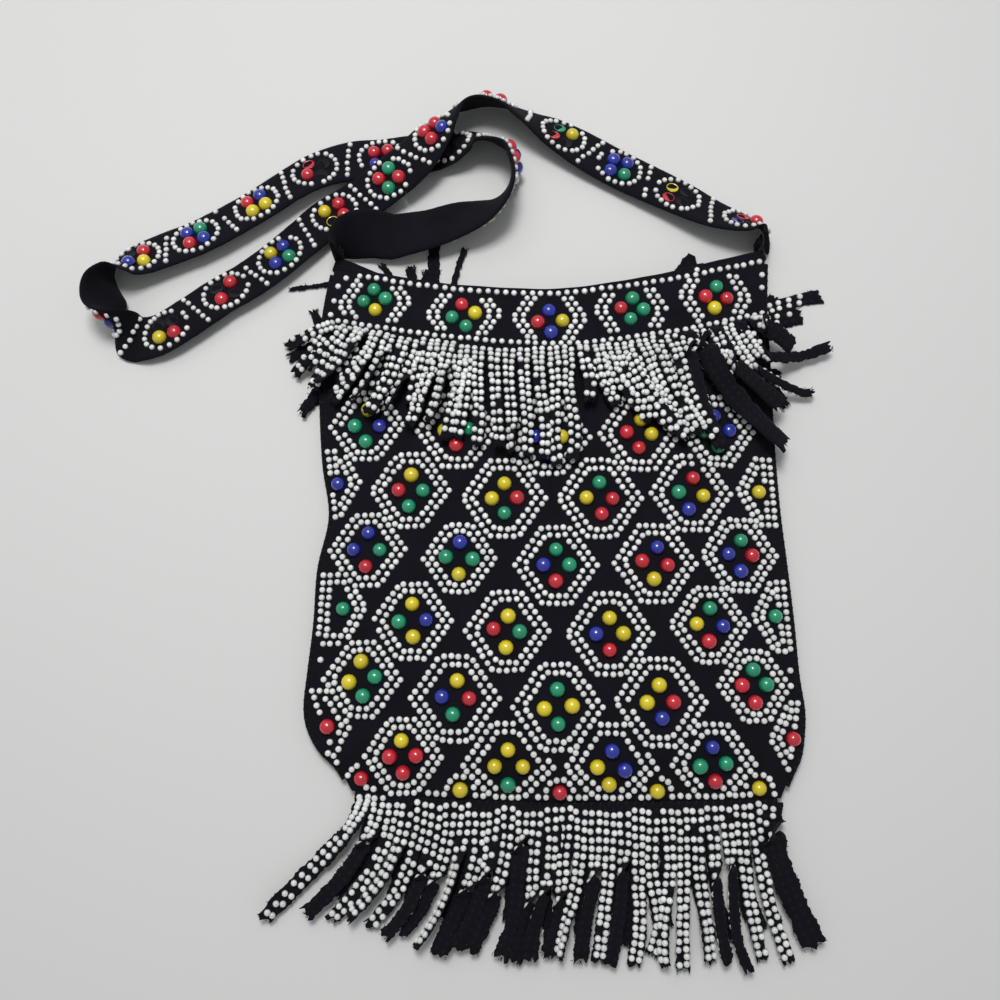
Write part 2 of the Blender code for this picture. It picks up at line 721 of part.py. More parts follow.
def strap_spans(curve):
    """Start and end of the strap's three stretches, with a cut between them."""
    distance = curve[0]
    first = distance[STRAP_SAMPLES * (len(RIGHT_RUN_SHARES) - 1)]
    second = distance[STRAP_SAMPLES * (len(RIGHT_RUN_SHARES) + len(LOOP_SHARES) - 1)]
    half = STRAP_CUT / 2
    return (
        ("strap_right_run", 0, first - half),
        ("strap_loop_run", first + half, second - half),
        ("strap_left_run", second + half, distance[-1]),
    )


def strap_beadwork(curve, start, end):
    bm = bmesh.new()
    total = curve[0][-1]
    reach = four_offsets()[0][1] + BEAD_RADIUS
    for k in range(int(total / STRAP_PITCH)):
        s = STRAP_FIRST + k * STRAP_PITCH
        bare = any(a < s / total < b for a, b in BARE_STRAP_SHARES)
        if bare or not start + reach < s < end - reach:
            continue
        for a, b in four_offsets():
            centre, travel, across, face = strap_at(curve, s + a)
            spot = centre + across * b + face * STRAP_THICKNESS / 2
            dome(bm, spot, (travel, across, face), BEAD_HEIGHT, colour_at(spot[0], spot[1]))
    return bm


def make_strap(parts, cutters):
    curve = strap_curve()
    for name, start, end in strap_spans(curve):
        count = int((end - start) / STRAP_STEP)
        bm = bmesh.new()
        rows = []
        for i in range(count + 1):
            centre, travel, across, face = strap_at(curve, start + (end - start) * i / count)
            half = across * STRAP_WIDTH / 2
            rows.append([bm.verts.new(Vector(centre - half)), bm.verts.new(Vector(centre + half))])
        for (a, b), (c, d) in zip(rows, rows[1:]):
            bm.faces.new((a, b, d, c))
        band = add_object(name, bm, parts, BEADED_CLOTH, smooth=True)
        solidify(band, STRAP_THICKNESS, 0)
        union(band, strap_beadwork(curve, start, end), cutters)


def make_tabs(parts):
    """A cloth tab at each mouth corner, on the strap's bare side, with two bar tacks."""
    curve = strap_curve()
    for name, side, s in (("left", -1, curve[0][-1]), ("right", 1, 0)):
        x, y, _ = strap_at(curve, s)[0]
        x -= side * (STRAP_THICKNESS / 2 + CLEARANCE + TAB_THICKNESS / 2)
        bm = bmesh.new()
        size = (TAB_THICKNESS, TAB_LENGTH, TAB_HEIGHT)
        place_at = Matrix.Translation((x, y + TAB_LENGTH / 2, CLEARANCE + TAB_HEIGHT / 2))
        bmesh.ops.create_cube(bm, size=1, matrix=place_at @ Matrix.Diagonal((*size, 1)))
        add_object(f"{name}_strap_tab", bm, parts, ("black_cloth",))
        x -= side * (TAB_THICKNESS / 2 + CLEARANCE + STITCH_RADIUS)
        low = CLEARANCE + (TAB_HEIGHT - STITCH_LENGTH) / 2
        for i in (0, 1):
            spot = y + TAB_LENGTH / 2 + (i - 0.5) * STITCH_SPACING
            ends = [(x, spot, low), (x, spot, low + STITCH_LENGTH)]
            tube(f"{name}_bar_tack_{i + 1}", parts, "thread", ends, STITCH_RADIUS)


def main():
    clear_scene()
    parts = new_collection("beaded_shoulder_bag")
    cutters = new_collection("cutters")
    make_walls(parts, cutters)
    make_hem("front_mouth_hem", parts, front_outside)
    make_hem("back_mouth_hem", parts, back_inside)
    make_seams(parts)
    make_base_fringe(parts)
    make_upper_fringe(parts)
    make_turned_strip(parts)
    make_strap(parts, cutters)
    make_tabs(parts)


main()
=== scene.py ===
"""Beaded shoulder bag, lying on its back on a pale table.

The pouch's cloth walls, linings, hems and seams, its beadwork in hexagonal medallions, the two
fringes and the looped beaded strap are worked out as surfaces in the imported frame. A place on the
pouch is u, from -1 at its left edge to 1 at its right edge, and t, from 0 at its base to 1 at its
mouth.
"""

import json
import math
from functools import partial

import bpy
import numpy as np
from bpy.props import FloatProperty, FloatVectorProperty, PointerProperty
from bpy.types import Operator, Panel, PropertyGroup
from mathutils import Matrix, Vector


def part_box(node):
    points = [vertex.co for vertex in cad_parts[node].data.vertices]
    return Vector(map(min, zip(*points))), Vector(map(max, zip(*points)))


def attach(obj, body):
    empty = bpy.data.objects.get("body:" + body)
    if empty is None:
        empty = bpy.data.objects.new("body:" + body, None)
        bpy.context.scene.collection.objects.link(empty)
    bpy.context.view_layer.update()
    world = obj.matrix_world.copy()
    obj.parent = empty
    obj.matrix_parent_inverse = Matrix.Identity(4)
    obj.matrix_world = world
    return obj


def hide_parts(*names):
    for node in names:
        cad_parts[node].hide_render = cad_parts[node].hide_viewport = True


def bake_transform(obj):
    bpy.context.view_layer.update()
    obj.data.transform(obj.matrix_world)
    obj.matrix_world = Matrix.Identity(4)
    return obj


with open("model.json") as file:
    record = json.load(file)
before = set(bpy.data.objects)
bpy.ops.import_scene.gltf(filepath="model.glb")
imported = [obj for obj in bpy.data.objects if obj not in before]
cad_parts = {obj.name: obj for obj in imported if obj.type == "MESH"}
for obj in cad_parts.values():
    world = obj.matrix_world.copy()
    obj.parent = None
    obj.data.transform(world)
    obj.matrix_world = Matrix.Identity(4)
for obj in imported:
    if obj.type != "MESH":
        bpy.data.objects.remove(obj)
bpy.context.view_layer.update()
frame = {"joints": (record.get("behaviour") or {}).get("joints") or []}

bl_info = {
    "name": "Beaded shoulder bag",
    "version": (1, 0, 0),
    "blender": (4, 5, 0),
    "location": "View3D > Sidebar > Bag",
    "description": "Makes a beaded shoulder bag, piece by piece, and the table that it lies on",
    "category": "Object",
}

MM = 0.001
UP = np.array([0, 0, 1.0])

# Left and right edge of the pouch, as shares of its half width, at shares t of its height.
EDGE_SHARES = (
    (0, 0.82, 0.885),
    (0.04, 0.875, 0.93),
    (0.07, 0.945, 0.965),
    (0.11, 0.995, 0.983),
    (0.15, 1.01, 0.989),
    (0.21, 1, 0.975),
    (0.3, 0.983, 0.967),
    (0.4, 0.975, 0.953),
    (0.5, 0.935, 0.937),
    (0.6, 0.97, 0.93),
    (0.7, 0.99, 0.93),
    (0.8, 1, 0.932),
    (0.9, 0.997, 0.932),
    (1, 0.965, 0.948),
)
MOUTH_CURVE_POWER = 1.7
CUFF_BASE_SHARE = 0.882
CUFF_OVERLAP_SHARE = 0.004
CUFF_RAISE_SHARE = 0.05
LINING_WIDTH_SHARE = 0.88
LINING_FOOT_SHARE = 0.06
LINING_TOP_SHARE = 0.985
LOCATE_STEPS = 24

# The room between the walls: its crown, its roll at the base and its fall towards the mouth.
CROWN_POWER = 3.0
BASE_ROLL_SHARE = 0.16
MOUTH_FLATTEN_SHARE = 0.25
MOUTH_DROP_SHARE = 0.15

# Waves in the cloth: length across and along in metres, phase, and share of the ripple's height.
RIPPLE_WAVES = ((0.061, 0.173, 0, 1), (-0.119, 0.047, 1.3, 1), (0.023, 0.031, 0.7, 0.6))
RIPPLE_FADE_START = 0.8
RIPPLE_FADE_WIDTH = 0.2
BACK_RIPPLE_SHARE = 0.4
BACK_RIPPLE_SHIFT = 20 * MM

# Places on the front wall by the side seam and further in towards the opening wall, as shares of the half
# width, and a reach for each fringe and for the loop, given with a piece's second body.
SEAM_BEND_SHARE = 0.97
WALL_BEND_SHARE = 0.58
UPPER_BEND_REACH = 22 * MM
BASE_BEND_REACH = 18 * MM
STRAP_BEND_REACH = 40 * MM

# How finely the cloths are divided, along and across: the back's columns, then a front half's.
PANEL_ROWS = 110
CUFF_ROWS = 18
LINING_ROWS = 60
WALL_COLUMNS = (120, 66)
LINING_COLUMNS = (80, 40)

# The hem's width at places u along the mouth, as shares of its full width, and its thickness.
HEM_PLACES = (-1.0, -0.93, -0.8, -0.45, 0.0, 0.7, 1.0)
HEM_SHARES = (1.5, 1.3, 0.45, 0.34, 0.72, 1.08, 1.12)
HEM_THICKNESS_SHARE = 1.15
# The hem's stitches, and the thread that winds round the seams.
STITCH_PITCH = 2.6 * MM
STITCH_SHARE = 0.72
STITCH_ROWS = 5
STITCH_OFFSET = 0.3 * MM
STITCH_ARCH = 0.14 * MM
STITCH_RADIUS = 0.16 * MM
COIL_PITCH = 4.2 * MM
COIL_RADIUS = 0.2 * MM

# The bead row near the mouth: its first place u, the least u whose hem it keeps to, and its inset
# from the edge at places u. Then the spacing of the cuff's two rows, and where all rows lie.
BORDER_START_U = -0.875
BORDER_LEAST_U = -0.45
BORDER_INSET_PLACES = (0.25, 0.6, 1.0)
BORDER_INSET_SHARES = (1.0, 1.6, 2.2)
BORDER_SPACING = 4.5 * MM
FOOT_SPACING = 4.3 * MM
FOOT_ROW_RISE = 2.4 * MM
BASE_ROW_RISE = 2.1 * MM
BACK_ROW_DROP = 2 * MM
ROW_END = 0.97

# How far chance moves a small bead, how much of a large bead's radius a small one keeps clear of,
# the arch of small beads over a single one, the distances between medallions on the back, and the
# step over which a surface's slope is taken.
BEAD_SCATTER = 0.16 * MM
LARGE_CLEAR_SHARE = 0.82
ARCH_RADIUS = 6.6 * MM
BACK_PITCH_ACROSS = 48.6 * MM
BACK_PITCH_ALONG = 32.7 * MM
SLOPE_STEP = 0.4 * MM

# Medallions of the front: u, t, the colours of the four large beads in the order top, left, right,
# bottom, and for those of the panel their size. Those at the side edges have one large bead.
CUFF_MEDALLIONS = (
    (-0.786, 0.949, "GGGY"), (-0.377, 0.941, "RGYG"), (0.008, 0.94, "BRYB"),
    (0.376, 0.95, "GRGG"), (0.764, 0.942, "GRRY"),
)
PANEL_MEDALLIONS = (
    (-0.798, 0.689, "YGBG", 0.93), (-0.397, 0.699, "GYGR", 1), (0.005, 0.695, "YBYB", 1),
    (0.403, 0.69, "YRYR", 1), (0.745, 0.673, "BGBG", 0.95), (-0.625, 0.569, "YRGG", 0.97),
    (-0.212, 0.569, "YYRG", 1.03), (0.208, 0.568, "GYRR", 1.03), (0.61, 0.56, "RGYB", 1),
    (-0.814, 0.444, "BBGR", 0.94), (-0.412, 0.445, "BGGY", 0.88), (0.005, 0.44, "GBGR", 1),
    (0.43, 0.434, "BRRY", 1), (0.804, 0.432, "GBRB", 0.95), (-0.594, 0.32, "YGBY", 0.96),
    (-0.199, 0.312, "YRGY", 1), (0.226, 0.306, "YBYR", 1.03), (0.645, 0.311, "GYBR", 0.95),
    (-0.782, 0.206, "YYGG", 0.93), (-0.4, 0.184, "YBRG", 1.05), (0.011, 0.173, "GYYG", 1.06),
    (0.423, 0.177, "YYRB", 1.08), (0.815, 0.196, "GRGR", 0.88), (-0.652, 0.072, "YRRR", 0.92),
    (-0.226, 0.062, "YYYG", 1.07), (0.205, 0.061, "BYBY", 1.07), (0.639, 0.062, "BGGR", 1),
)
EDGE_MEDALLIONS = (
    (-0.955, 0.564, "B"), (0.922, 0.544, "Y"), (-0.889, 0.33, "G"), (0.931, 0.315, "G"),
    (-0.924, 0.115, "R"), (0.965, 0.1, "R"),
)
BASE_SINGLES = (
    (-0.923, 0.024, "R"), (-0.48, 0.017, "Y"), (-0.028, 0.017, "R"), (0.415, 0.018, "Y"),
    (0.88, 0.018, "Y"),
)
# Small beads that belong to no row: u and t.
STRAY_BEADS = (
    (-0.965, 0.232), (0.975, 0.218), (-0.97, 0.935), (-0.93, 0.912), (-0.975, 0.905), (-0.965, 0.966),
    (-0.935, 0.985), (0.985, 0.968), (0.988, 0.94),
)

# Strips of the upper fringe, from left to right: where the tip lies across and above its root, as
# shares of the fringe's length, how far along the strip turns over, and how far round, in degrees.
UPPER_STRIP_SHARES = (
    (-0.42, -0.14, 1, 0), (-0.34, -0.34, 1, 0), (-0.36, -0.48, 0.3, 48), (-0.33, -0.56, 1, 0),
    (-0.3, -0.6, 0.35, 55), (-0.3, -0.7, 1, 0), (-0.26, -0.66, 0.6, 70), (-0.2, -0.78, 1, 0),
    (-0.16, -0.74, 0.4, 50), (-0.14, -0.86, 1, 0), (-0.02, -0.93, 1, 0), (0.05, -0.92, 1, 0),
    (0.02, -0.96, 0.72, 60), (0.03, -1, 1, 0), (0.04, -1, 1, 0), (0.02, -1.06, 1, 0),
    (0.01, -1.02, 1, 0), (0.04, -0.52, 1, 0), (0.14, -0.56, 1, 0), (0.52, -0.82, 1, 0),
    (0.47, -0.88, 1, 0), (0.46, -0.84, 1, 0), (0.36, -0.86, 1, 0), (0.33, -0.93, 1, 0),
    (0.25, -1.05, 0.14, 178), (0.68, -1.04, 0.08, 182), (0.53, -0.71, 0.42, 176), (0.73, -0.6, 0.46, 190),
    (0.78, -0.21, 0.38, 182), (0.3, -0.26, 0.32, 172),
)
# Strips that are wider or narrower than the others, and those that leave their root further down.
UPPER_STRIP_WIDTHS = {24: 1.3, 25: 1.9, 26: 1.5, 27: 0.8, 28: 0.95, 29: 1.6}
UPPER_STRIP_DROPS = {26: 0.42, 27: 0.52, 28: 0.74, 29: 0.35}
# Strips below those, all beaded: root u, and tip across and above the root as shares of the length.
UNDER_STRIP_SHARES = (
    (-0.97, -0.3, -0.42), (-0.9, -0.26, -0.56), (-0.83, -0.2, -0.44), (-0.76, -0.34, -0.62),
    (-0.69, -0.14, -0.52), (-0.62, -0.28, -0.7), (-0.55, -0.08, -0.62), (-0.48, -0.2, -0.74),
    (-0.41, -0.02, -0.7), (-0.34, -0.1, -0.86), (0.18, 0.2, -0.5), (0.26, 0.36, -0.7),
    (0.33, 0.58, -0.74), (0.41, 0.4, -0.86), (0.48, 0.26, -0.66), (0.55, 0.3, -0.8), (0.64, 0.18, -0.42),
    (0.76, 0.16, -0.48), (0.88, 0.14, -0.38),
)
# Strips of the bottom fringe: where the tip lies across, as a share of the half width, how far
# below the base, as a share of the fringe's length, and the turn as above.
BASE_STRIP_SHARES = (
    (-1.145, 0.73, 1, 0), (-0.98, 0.7, 0.34, 180), (-0.886, 0.74, 1, 0), (-0.812, 0.72, 0.3, 50),
    (-0.74, 0.78, 1, 0), (-0.676, 0.84, 0.42, 185), (-0.611, 0.82, 0.48, 178), (-0.551, 0.9, 0.24, 65),
    (-0.466, 0.95, 0.46, 182), (-0.396, 0.9, 0.4, 176), (-0.338, 0.93, 0.5, 172),
    (-0.228, 0.97, 0.16, 184), (-0.178, 0.99, 0.5, 180), (-0.117, 0.98, 0.44, 176),
    (-0.054, 0.96, 0.52, 182), (-0.004, 0.97, 0.6, 50),
    (0.081, 1, 0.34, 180), (0.147, 0.99, 1, 0), (0.194, 1.01, 0.3, 178), (0.287, 1.02, 1, 0),
    (0.358, 0.96, 1, 0), (0.404, 1.02, 0.5, 40), (0.477, 1.06, 1, 0), (0.579, 1, 1, 0),
    (0.649, 1, 0.34, 150), (0.726, 1.05, 0.26, 180), (0.786, 0.98, 1, 0), (0.886, 1, 1, 0),
    (0.985, 0.9, 0.14, 180),
)
# Front strips that are wider or narrower than the others.
BASE_STRIP_WIDTHS = {
    0: 1.4, 1: 1.25, 5: 1.3, 6: 1.2, 8: 1.5, 9: 1.4, 10: 1.3, 11: 1.4, 12: 1.4, 13: 1.45, 14: 1.3,
    16: 1.3, 18: 1.25, 25: 0.95, 28: 2.1,
}
# How straight down the front strips leave their roots, by the strip's number.
BASE_DROPS = ((0, 1, 2, 4, 26, 28), (0.2, 0.38, 0.48, 0.55, 0.55, 0.45))
BASE_BACK_COUNT = 21
BACK_STRIP_COUNT = 26
# Slots of a fringe's strips, beads and threads, the share of its beads that are gone, and the bare
# stretch at the roots of the strips below others.
FRINGE_SLOTS = ("black_cloth", "white_beads", "black_cloth")
STRIP_GAPS_SHARE = 0.04
UNDER_BARE_LENGTH = 13 * MM
# Frayed threads at the edges and as many at the tip of each strip, how far the cloth's edges and
# tips reach beyond the cut as shares of the fray, and the least share of the thickness at a rim.
FRAY_COUNT = 7
FRAY_EDGE_SHARES = (-0.55, 0.35)
FRAY_TIP_SHARES = (-1.0, 2.2)
RIM_LEAST_SHARE = 0.06
# Strips of the back fringe that show beyond the pouch: root u and t, tip across and above the root
# as shares of the upper fringe's length, width as a share of a strip's, and how many bead rows.
LOOSE_STRIP_SHARES = (
    (-0.535, 0.98, 0, 0.62, 1.1, 0), (-0.465, 0.98, 0.14, 0.53, 0.55, 1),
    (-0.635, 0.98, -0.02, 0.3, 0.9, 0), (-0.6, 0.98, 0.05, 0.27, 0.6, 0),
    (-0.729, 0.98, -0.1, 0.3, 0.6, 0), (0.59, 0.99, 0.19, 0.3, 1.9, 0),
    (-0.97, 0.985, -0.44, -0.06, 0.35, 0), (-0.97, 0.84, -0.17, 0.37, 0.8, 0),
    (-0.98, 0.86, -0.34, -0.16, 0.9, 4), (-0.98, 0.78, -0.2, -0.26, 0.9, 0),
    (0.955, 0.9, 0.62, 0.17, 1.3, 9), (0.955, 0.878, 0.42, 0.09, 1.6, 8),
    (0.955, 0.89, 0.2, 0.2, 0.9, 2), (0.94, 0.8, 0.24, -0.1, 0.9, 0),
)

# Strap route: place across as a share of the half width, place beyond the line between the mouth
# corners as a share of the reach, roll in degrees, and lift share.
STRAP_ROUTE_SHARES = (
    (0.946, 0.004, -74, 0), (0.946, 0.078, -70, 0), (0.914, 0.128, -56, 0), (0.848, 0.165, -42, 0),
    (0.72, 0.243, -29, 0), (0.561, 0.376, -18, 0), (0.293, 0.584, -12, 0), (0.044, 0.792, -24, 0),
    (-0.094, 0.892, -46, 0), (-0.198, 0.967, -60, 0), (-0.29, 0.998, -66, 0), (-0.367, 0.987, -70, 0),
    (-0.435, 0.942, -62, 0.1), (-0.488, 0.844, -44, 0.6), (-0.536, 0.745, -25, 1), (-0.617, 0.618, -10, 1),
    (-0.71, 0.518, -3, 0.9), (-0.872, 0.382, -5, 0.3), (-0.999, 0.297, -10, 0), (-1.115, 0.156, -15, 0),
    (-1.236, 0.011, -15, 0), (-1.351, -0.107, -15, 0), (-1.472, -0.206, -15, 0), (-1.599, -0.328, -15, 0),
    (-1.728, -0.435, -12, 0), (-1.838, -0.449, 6, 0), (-1.905, -0.388, 80, 0), (-1.945, -0.288, 126, 0),
    (-1.962, -0.187, 122, 0), (-1.945, -0.067, 80, 0), (-1.9, -0.007, 44, 0), (-1.834, 0.036, 25, 0),
    (-1.707, 0.108, 20, 0), (-1.584, 0.174, 20, 0), (-1.445, 0.275, 20, 0), (-1.314, 0.384, 20, 0),
    (-1.184, 0.506, 20, 0), (-1.059, 0.609, 15, 0), (-0.916, 0.67, 10, 0), (-0.778, 0.684, 6, 0),
    (-0.633, 0.708, 6, 0), (-0.505, 0.724, 14, 0), (-0.412, 0.752, 30, 0), (-0.343, 0.767, 50, 0),
    (-0.253, 0.73, 63, 0), (-0.194, 0.668, 72, 0), (-0.172, 0.566, 80, 0), (-0.176, 0.442, 94, 0),
    (-0.23, 0.33, 120, 0), (-0.319, 0.263, 145, 0), (-0.431, 0.224, 160, 0), (-0.542, 0.181, 166, 0),
    (-0.676, 0.152, 174, 0), (-0.741, 0.15, 188, 0), (-0.8, 0.145, 205, 0), (-0.85, 0.129, 220, 0),
    (-0.905, 0.098, 236, 0), (-0.952, 0.052, 264, 0), (-0.957, 0.002, 270, 0),
)
# Rows of the route where the loop starts and ends, samples between two rows, how far the band that
# lies on itself is raised for its tilt as a share of its width, the gap below its lower edge, and
# the distance between two rows of its mesh.
STRAP_SPAN_ROWS = (16, 39)
STRAP_SAMPLES = 8
STRAP_TILT_SHARE = 0.10
STRAP_REST_GAP = 0.2 * MM
STRAP_ROW_STEP = 1.6 * MM
# Strap medallions: place along the strap as a share of its length, large beads as above, where a
# small letter is a bead broken down to its rim and a dash is a bare mark, and the four's turn in degrees.
STRAP_MEDALLIONS = (
    (0.023, "rbR-", 10), (0.072, "yr--", 22), (0.115, "BBBG", 29), (0.158, "grY-", 15),
    (0.21, "GRBR", 45), (0.26, "RRBR", -5), (0.303, "GRRG", 0), (0.345, "RYRy", -15),
    (0.391, "BYGB", -16), (0.433, "R--R", -18), (0.478, "--RY", -28), (0.527, "GYRB", 0),
    (0.576, "R-YB", -30), (0.616, "GBBR", -22), (0.661, "BRYY", -13), (0.706, "-r-R", -45),
    (0.751, "RRGB", -35), (0.797, "----", 10), (0.847, "RRBB", 45), (0.893, "YGBR", 20),
    (0.937, "RBGY", 10),
)
# Beads in an oval, the share of beads that are gone, and the bare stretch at the strap's ends.
STRAP_OVAL_COUNT = 19
STRAP_GAPS_SHARE = 0.06
STRAP_BARE_END = 3 * MM

COLOUR_NAMES = {"R": "red", "Y": "yellow", "G": "green", "B": "blue"}

# Profiles of the beads, as shares of the radius and of the height, from the foot to the middle.
WHITE_PROFILE_SHARES = ((1.0, -0.1), (1.0, 0.40), (0.88, 0.76), (0.54, 0.96), (0.17, 0.99), (0.0, 0.88))
COLOUR_PROFILE_SHARES = ((1.0, -0.1), (1.0, 0.14), (0.94, 0.42), (0.76, 0.70), (0.45, 0.91), (0.0, 1.0))
RIM_PROFILE_SHARES = ((1.0, -0.1), (1.0, 0.13), (0.93, 0.15), (0.88, 0.02), (0.45, 0.01), (0.0, 0.01))
WHITE_SIDES = 8
COLOUR_SIDES = 12
# The range of the beads' sizes, and the size of a broken one's rim, as shares of the usual radius.
BEAD_SIZE_SHARES = (0.95, 1.03)
RIM_SIZE_SHARE = 0.92
# Marks of the beads' feet on the strips: radius, how dark, and colour.
MARK_RADIUS = 1.1 * MM
MARK_STRENGTH = 0.8
MARK_COLOUR = (0.012, 0.012, 0.015)

# The stage, in metres: lights with place, target and width, and the camera with its tilt in degrees
# and its lens and sensor in millimetres.
TABLE_REACH = 4
KEY_LIGHT = ((-0.4, 0.75, 1.4), (0, 0.02, 0), 1.2)
GLINT_LIGHT = ((-0.10, 0.42, 1.15), (0, 0, 0), 0.34)
SKY_COLOUR = (0.93, 0.96, 1.0, 1)
CAMERA_PLACE = (-0.02796, -0.09786, 0.5102)
CAMERA_TILT = 12
CAMERA_LENS = 36.108
CAMERA_SENSOR = 36


def length(label, millimetres, about):
    return FloatProperty(name=label, description=about, default=millimetres * MM, min=0.0, unit="LENGTH")


def colour(label, red, green, blue, about):
    return FloatVectorProperty(
        name=label, description=about, default=(red, green, blue), size=3, subtype="COLOR", min=0.0, max=1.0
    )


def amount(label, value, about):
    return FloatProperty(name=label, description=about, default=value, min=0.0)


class PouchSizes(PropertyGroup):
    half_width: length("Half width", 121.5, "From the middle to either side")
    base_depth: length("Base depth", -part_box("front_panel")[0].y / MM, "From the origin down to the base")
    mouth_height: length("Mouth height", 118.3, "From the origin up to the mouth's middle")
    mouth_rise_left: length("Mouth rise left", 17.7, "How much higher the mouth's left corner is")
    mouth_rise_right: length("Mouth rise right", 24.2, "How much higher the mouth's right corner is")
    base_rise_left: length("Base rise left", 5.0, "How much higher the base's left end is")
    base_rise_right: length("Base rise right", 1.5, "How much higher the base's right end is")
    cloth: length("Cloth", 1.2, "Thickness of the cloth")
    lining: length("Lining", 0.6, "Thickness of the lining")
    clearance: length("Clearance", 0.3, "Gap between touching pieces")
    interior: length("Interior height", 10.0, "Height between the walls at the crown")
    hem_height: length("Hem height", 5.0, "Width of the folded hem")
    side_seam: length("Side seam", 1.3, "Radius of the side seams")
    base_seam: length("Base seam", 1.5, "Radius of the bottom seam")
    ripple: length("Ripple", 0.28, "Height of the ripples in the cloth")


class BeadSizes(PropertyGroup):
    white_radius: length("White radius", 1.58, "Radius of the small beads")
    white_height: length("White height", 1.7, "Height of the small beads")
    white_spacing: length("White spacing", 3.75, "Distance between small beads in a row")
    large_radius: length("Large radius", 3.85, "Radius of the large beads")
    large_height: length("Large height", 4.0, "Height of the large beads")
    ring_width: length("Ring half width", 20.4, "Middle of a medallion to its outer row, across")
    ring_height: length("Ring half height", 19.0, "Middle of a medallion to its outer row, along")
    ring_flat: length("Ring flat", 7.0, "Half the length of a medallion's flat side")
    ring_step: length("Ring step", 3.7, "From the outer row to the inner row")
    four_across: length("Four across", 6.5, "Middle of a medallion to its left and right beads")
    four_along: length("Four along", 8.0, "Middle of a medallion to its top and bottom beads")
    cuff_width: length("Cuff ring half width", 19.2, "Half width of a medallion on the cuff")
    cuff_flat: length("Cuff ring flat", 9.6, "Half the flat side of a medallion on the cuff")
    cuff_step: length("Cuff ring step", 4.7, "From the outer to the inner row, across, on the cuff")
    border_inset: length("Border inset", 3.1, "From the mouth's edge to the middle of its bead row")
    cuff_four: length("Cuff four", 6.0, "Middle of a cuff medallion to its large beads")


class FringeSizes(PropertyGroup):
    strip_width: length("Strip width", 7.0, "Width of a strip")
    upper_length: length("Upper length", 60.0, "Length of the upper fringe")
    back_length: length("Back length", 50.0, "Length of the upper fringe on the back")
    base_length: length("Base length", 70.0, "Length of the bottom fringe")
    row_pitch: length("Row pitch", 4.05, "Distance between bead rows along a strip")
    column_half: length("Column offset", 1.95, "From a strip's middle to either bead column")
    thread: length("Thread radius", 0.18, "Radius of a frayed thread")
    fray: length("Fray", 1.0, "Roughness of a strip's cut edges")
    curl: length("Curl", 0.25, "How much a turned strip's edges curl down")


class StrapSizes(PropertyGroup):
    width: length("Width", 26.0, "Width of the strap")
    thickness: length("Thickness", 2.4, "Thickness of the strap")
    reach: length("Reach", 90.0, "How far the strap lies beyond the mouth")
    cut: length("Cut", 0.5, "Gap between the strap's stretches")
    ring_along: length("Oval along", 12.6, "Half length of an oval of white beads")
    ring_across: length("Oval across", 10.6, "Half width of an oval of white beads")
    four: length("Four", 5.6, "Middle of a medallion to its large beads")


class BagColours(PropertyGroup):
    cloth: colour("Cloth", 0.0052, 0.0052, 0.0080, "Black knitted cloth")
    lining: colour("Lining", 0.009, 0.009, 0.012, "Lining cloth")
    thread: colour("Thread", 0.012, 0.012, 0.015, "Sewing thread")
    white: colour("White beads", 0.80, 0.81, 0.79, "Small domes")
    red: colour("Red beads", 0.60, 0.010, 0.026, "Large red domes")
    yellow: colour("Yellow beads", 0.76, 0.60, 0.010, "Large yellow domes")
    green: colour("Green beads", 0.004, 0.30, 0.14, "Large green domes")
    blue: colour("Blue beads", 0.012, 0.026, 0.34, "Large blue domes")
    floor: colour("Floor", 0.66, 0.66, 0.64, "Table top")


class StudioSettings(PropertyGroup):
    key: amount("Key light", 5.0, "Power of the soft light above, in watts")
    glint: amount("Glint light", 9.0, "Power of the small light that makes the highlights, in watts")
    sky: amount("Sky", 0.36, "Strength of the light from all round")


GROUPS = (
    ("bag_pouch", PouchSizes), ("bag_beads", BeadSizes), ("bag_fringe", FringeSizes),
    ("bag_strap", StrapSizes), ("bag_colours", BagColours), ("bag_studio", StudioSettings),
)


def pouch():
    return bpy.context.scene.bag_pouch


def beads():
    return bpy.context.scene.bag_beads


def fringes():
    return bpy.context.scene.bag_fringe


def strap():
    return bpy.context.scene.bag_strap


# Numbers on whole arrays


def smoothstep(x):
    """Three x squared minus two x cubed, with x held between 0 and 1."""
    x = np.clip(x, 0, 1)
    return x * x * (3 - 2 * x)


def unit(vectors):
    """Each vector divided by its own length."""
    return vectors / np.maximum(np.linalg.norm(vectors, axis=-1, keepdims=True), 1e-12)


def smooth_curve(table, where):
    """Columns of a table at fractional rows: the Catmull-Rom cubic through the four rows round each."""
    last = len(table) - 1
    i = np.clip(np.floor(where).astype(int), 0, last - 1)
    s = (where - i)[:, None]
    a, b = table[i], table[i + 1]
    before, after = table[np.clip(i - 1, 0, last)], table[np.clip(i + 2, 0, last)]
    bend = (2 * before - 5 * a + 4 * b - after) * s**2 + (3 * a - before - 3 * b + after) * s**3
    return (2 * a + (b - before) * s + bend) / 2


EDGE_CURVE = smooth_curve(np.array(EDGE_SHARES), np.linspace(0, len(EDGE_SHARES) - 1, 150))


def edges(t):
    """Left and right edge of the pouch: the half width times the smooth curve through the edge shares."""
    half = pouch().half_width
    left = np.interp(t, EDGE_CURVE[:, 0], EDGE_CURVE[:, 1])
    return -half * left, half * np.interp(t, EDGE_CURVE[:, 0], EDGE_CURVE[:, 2])


def base_line(u):
    """Height of the base edge: the base depth below the origin, rising with u squared."""
    p = pouch()
    return -p.base_depth + np.where(u < 0, p.base_rise_left, p.base_rise_right) * u**2


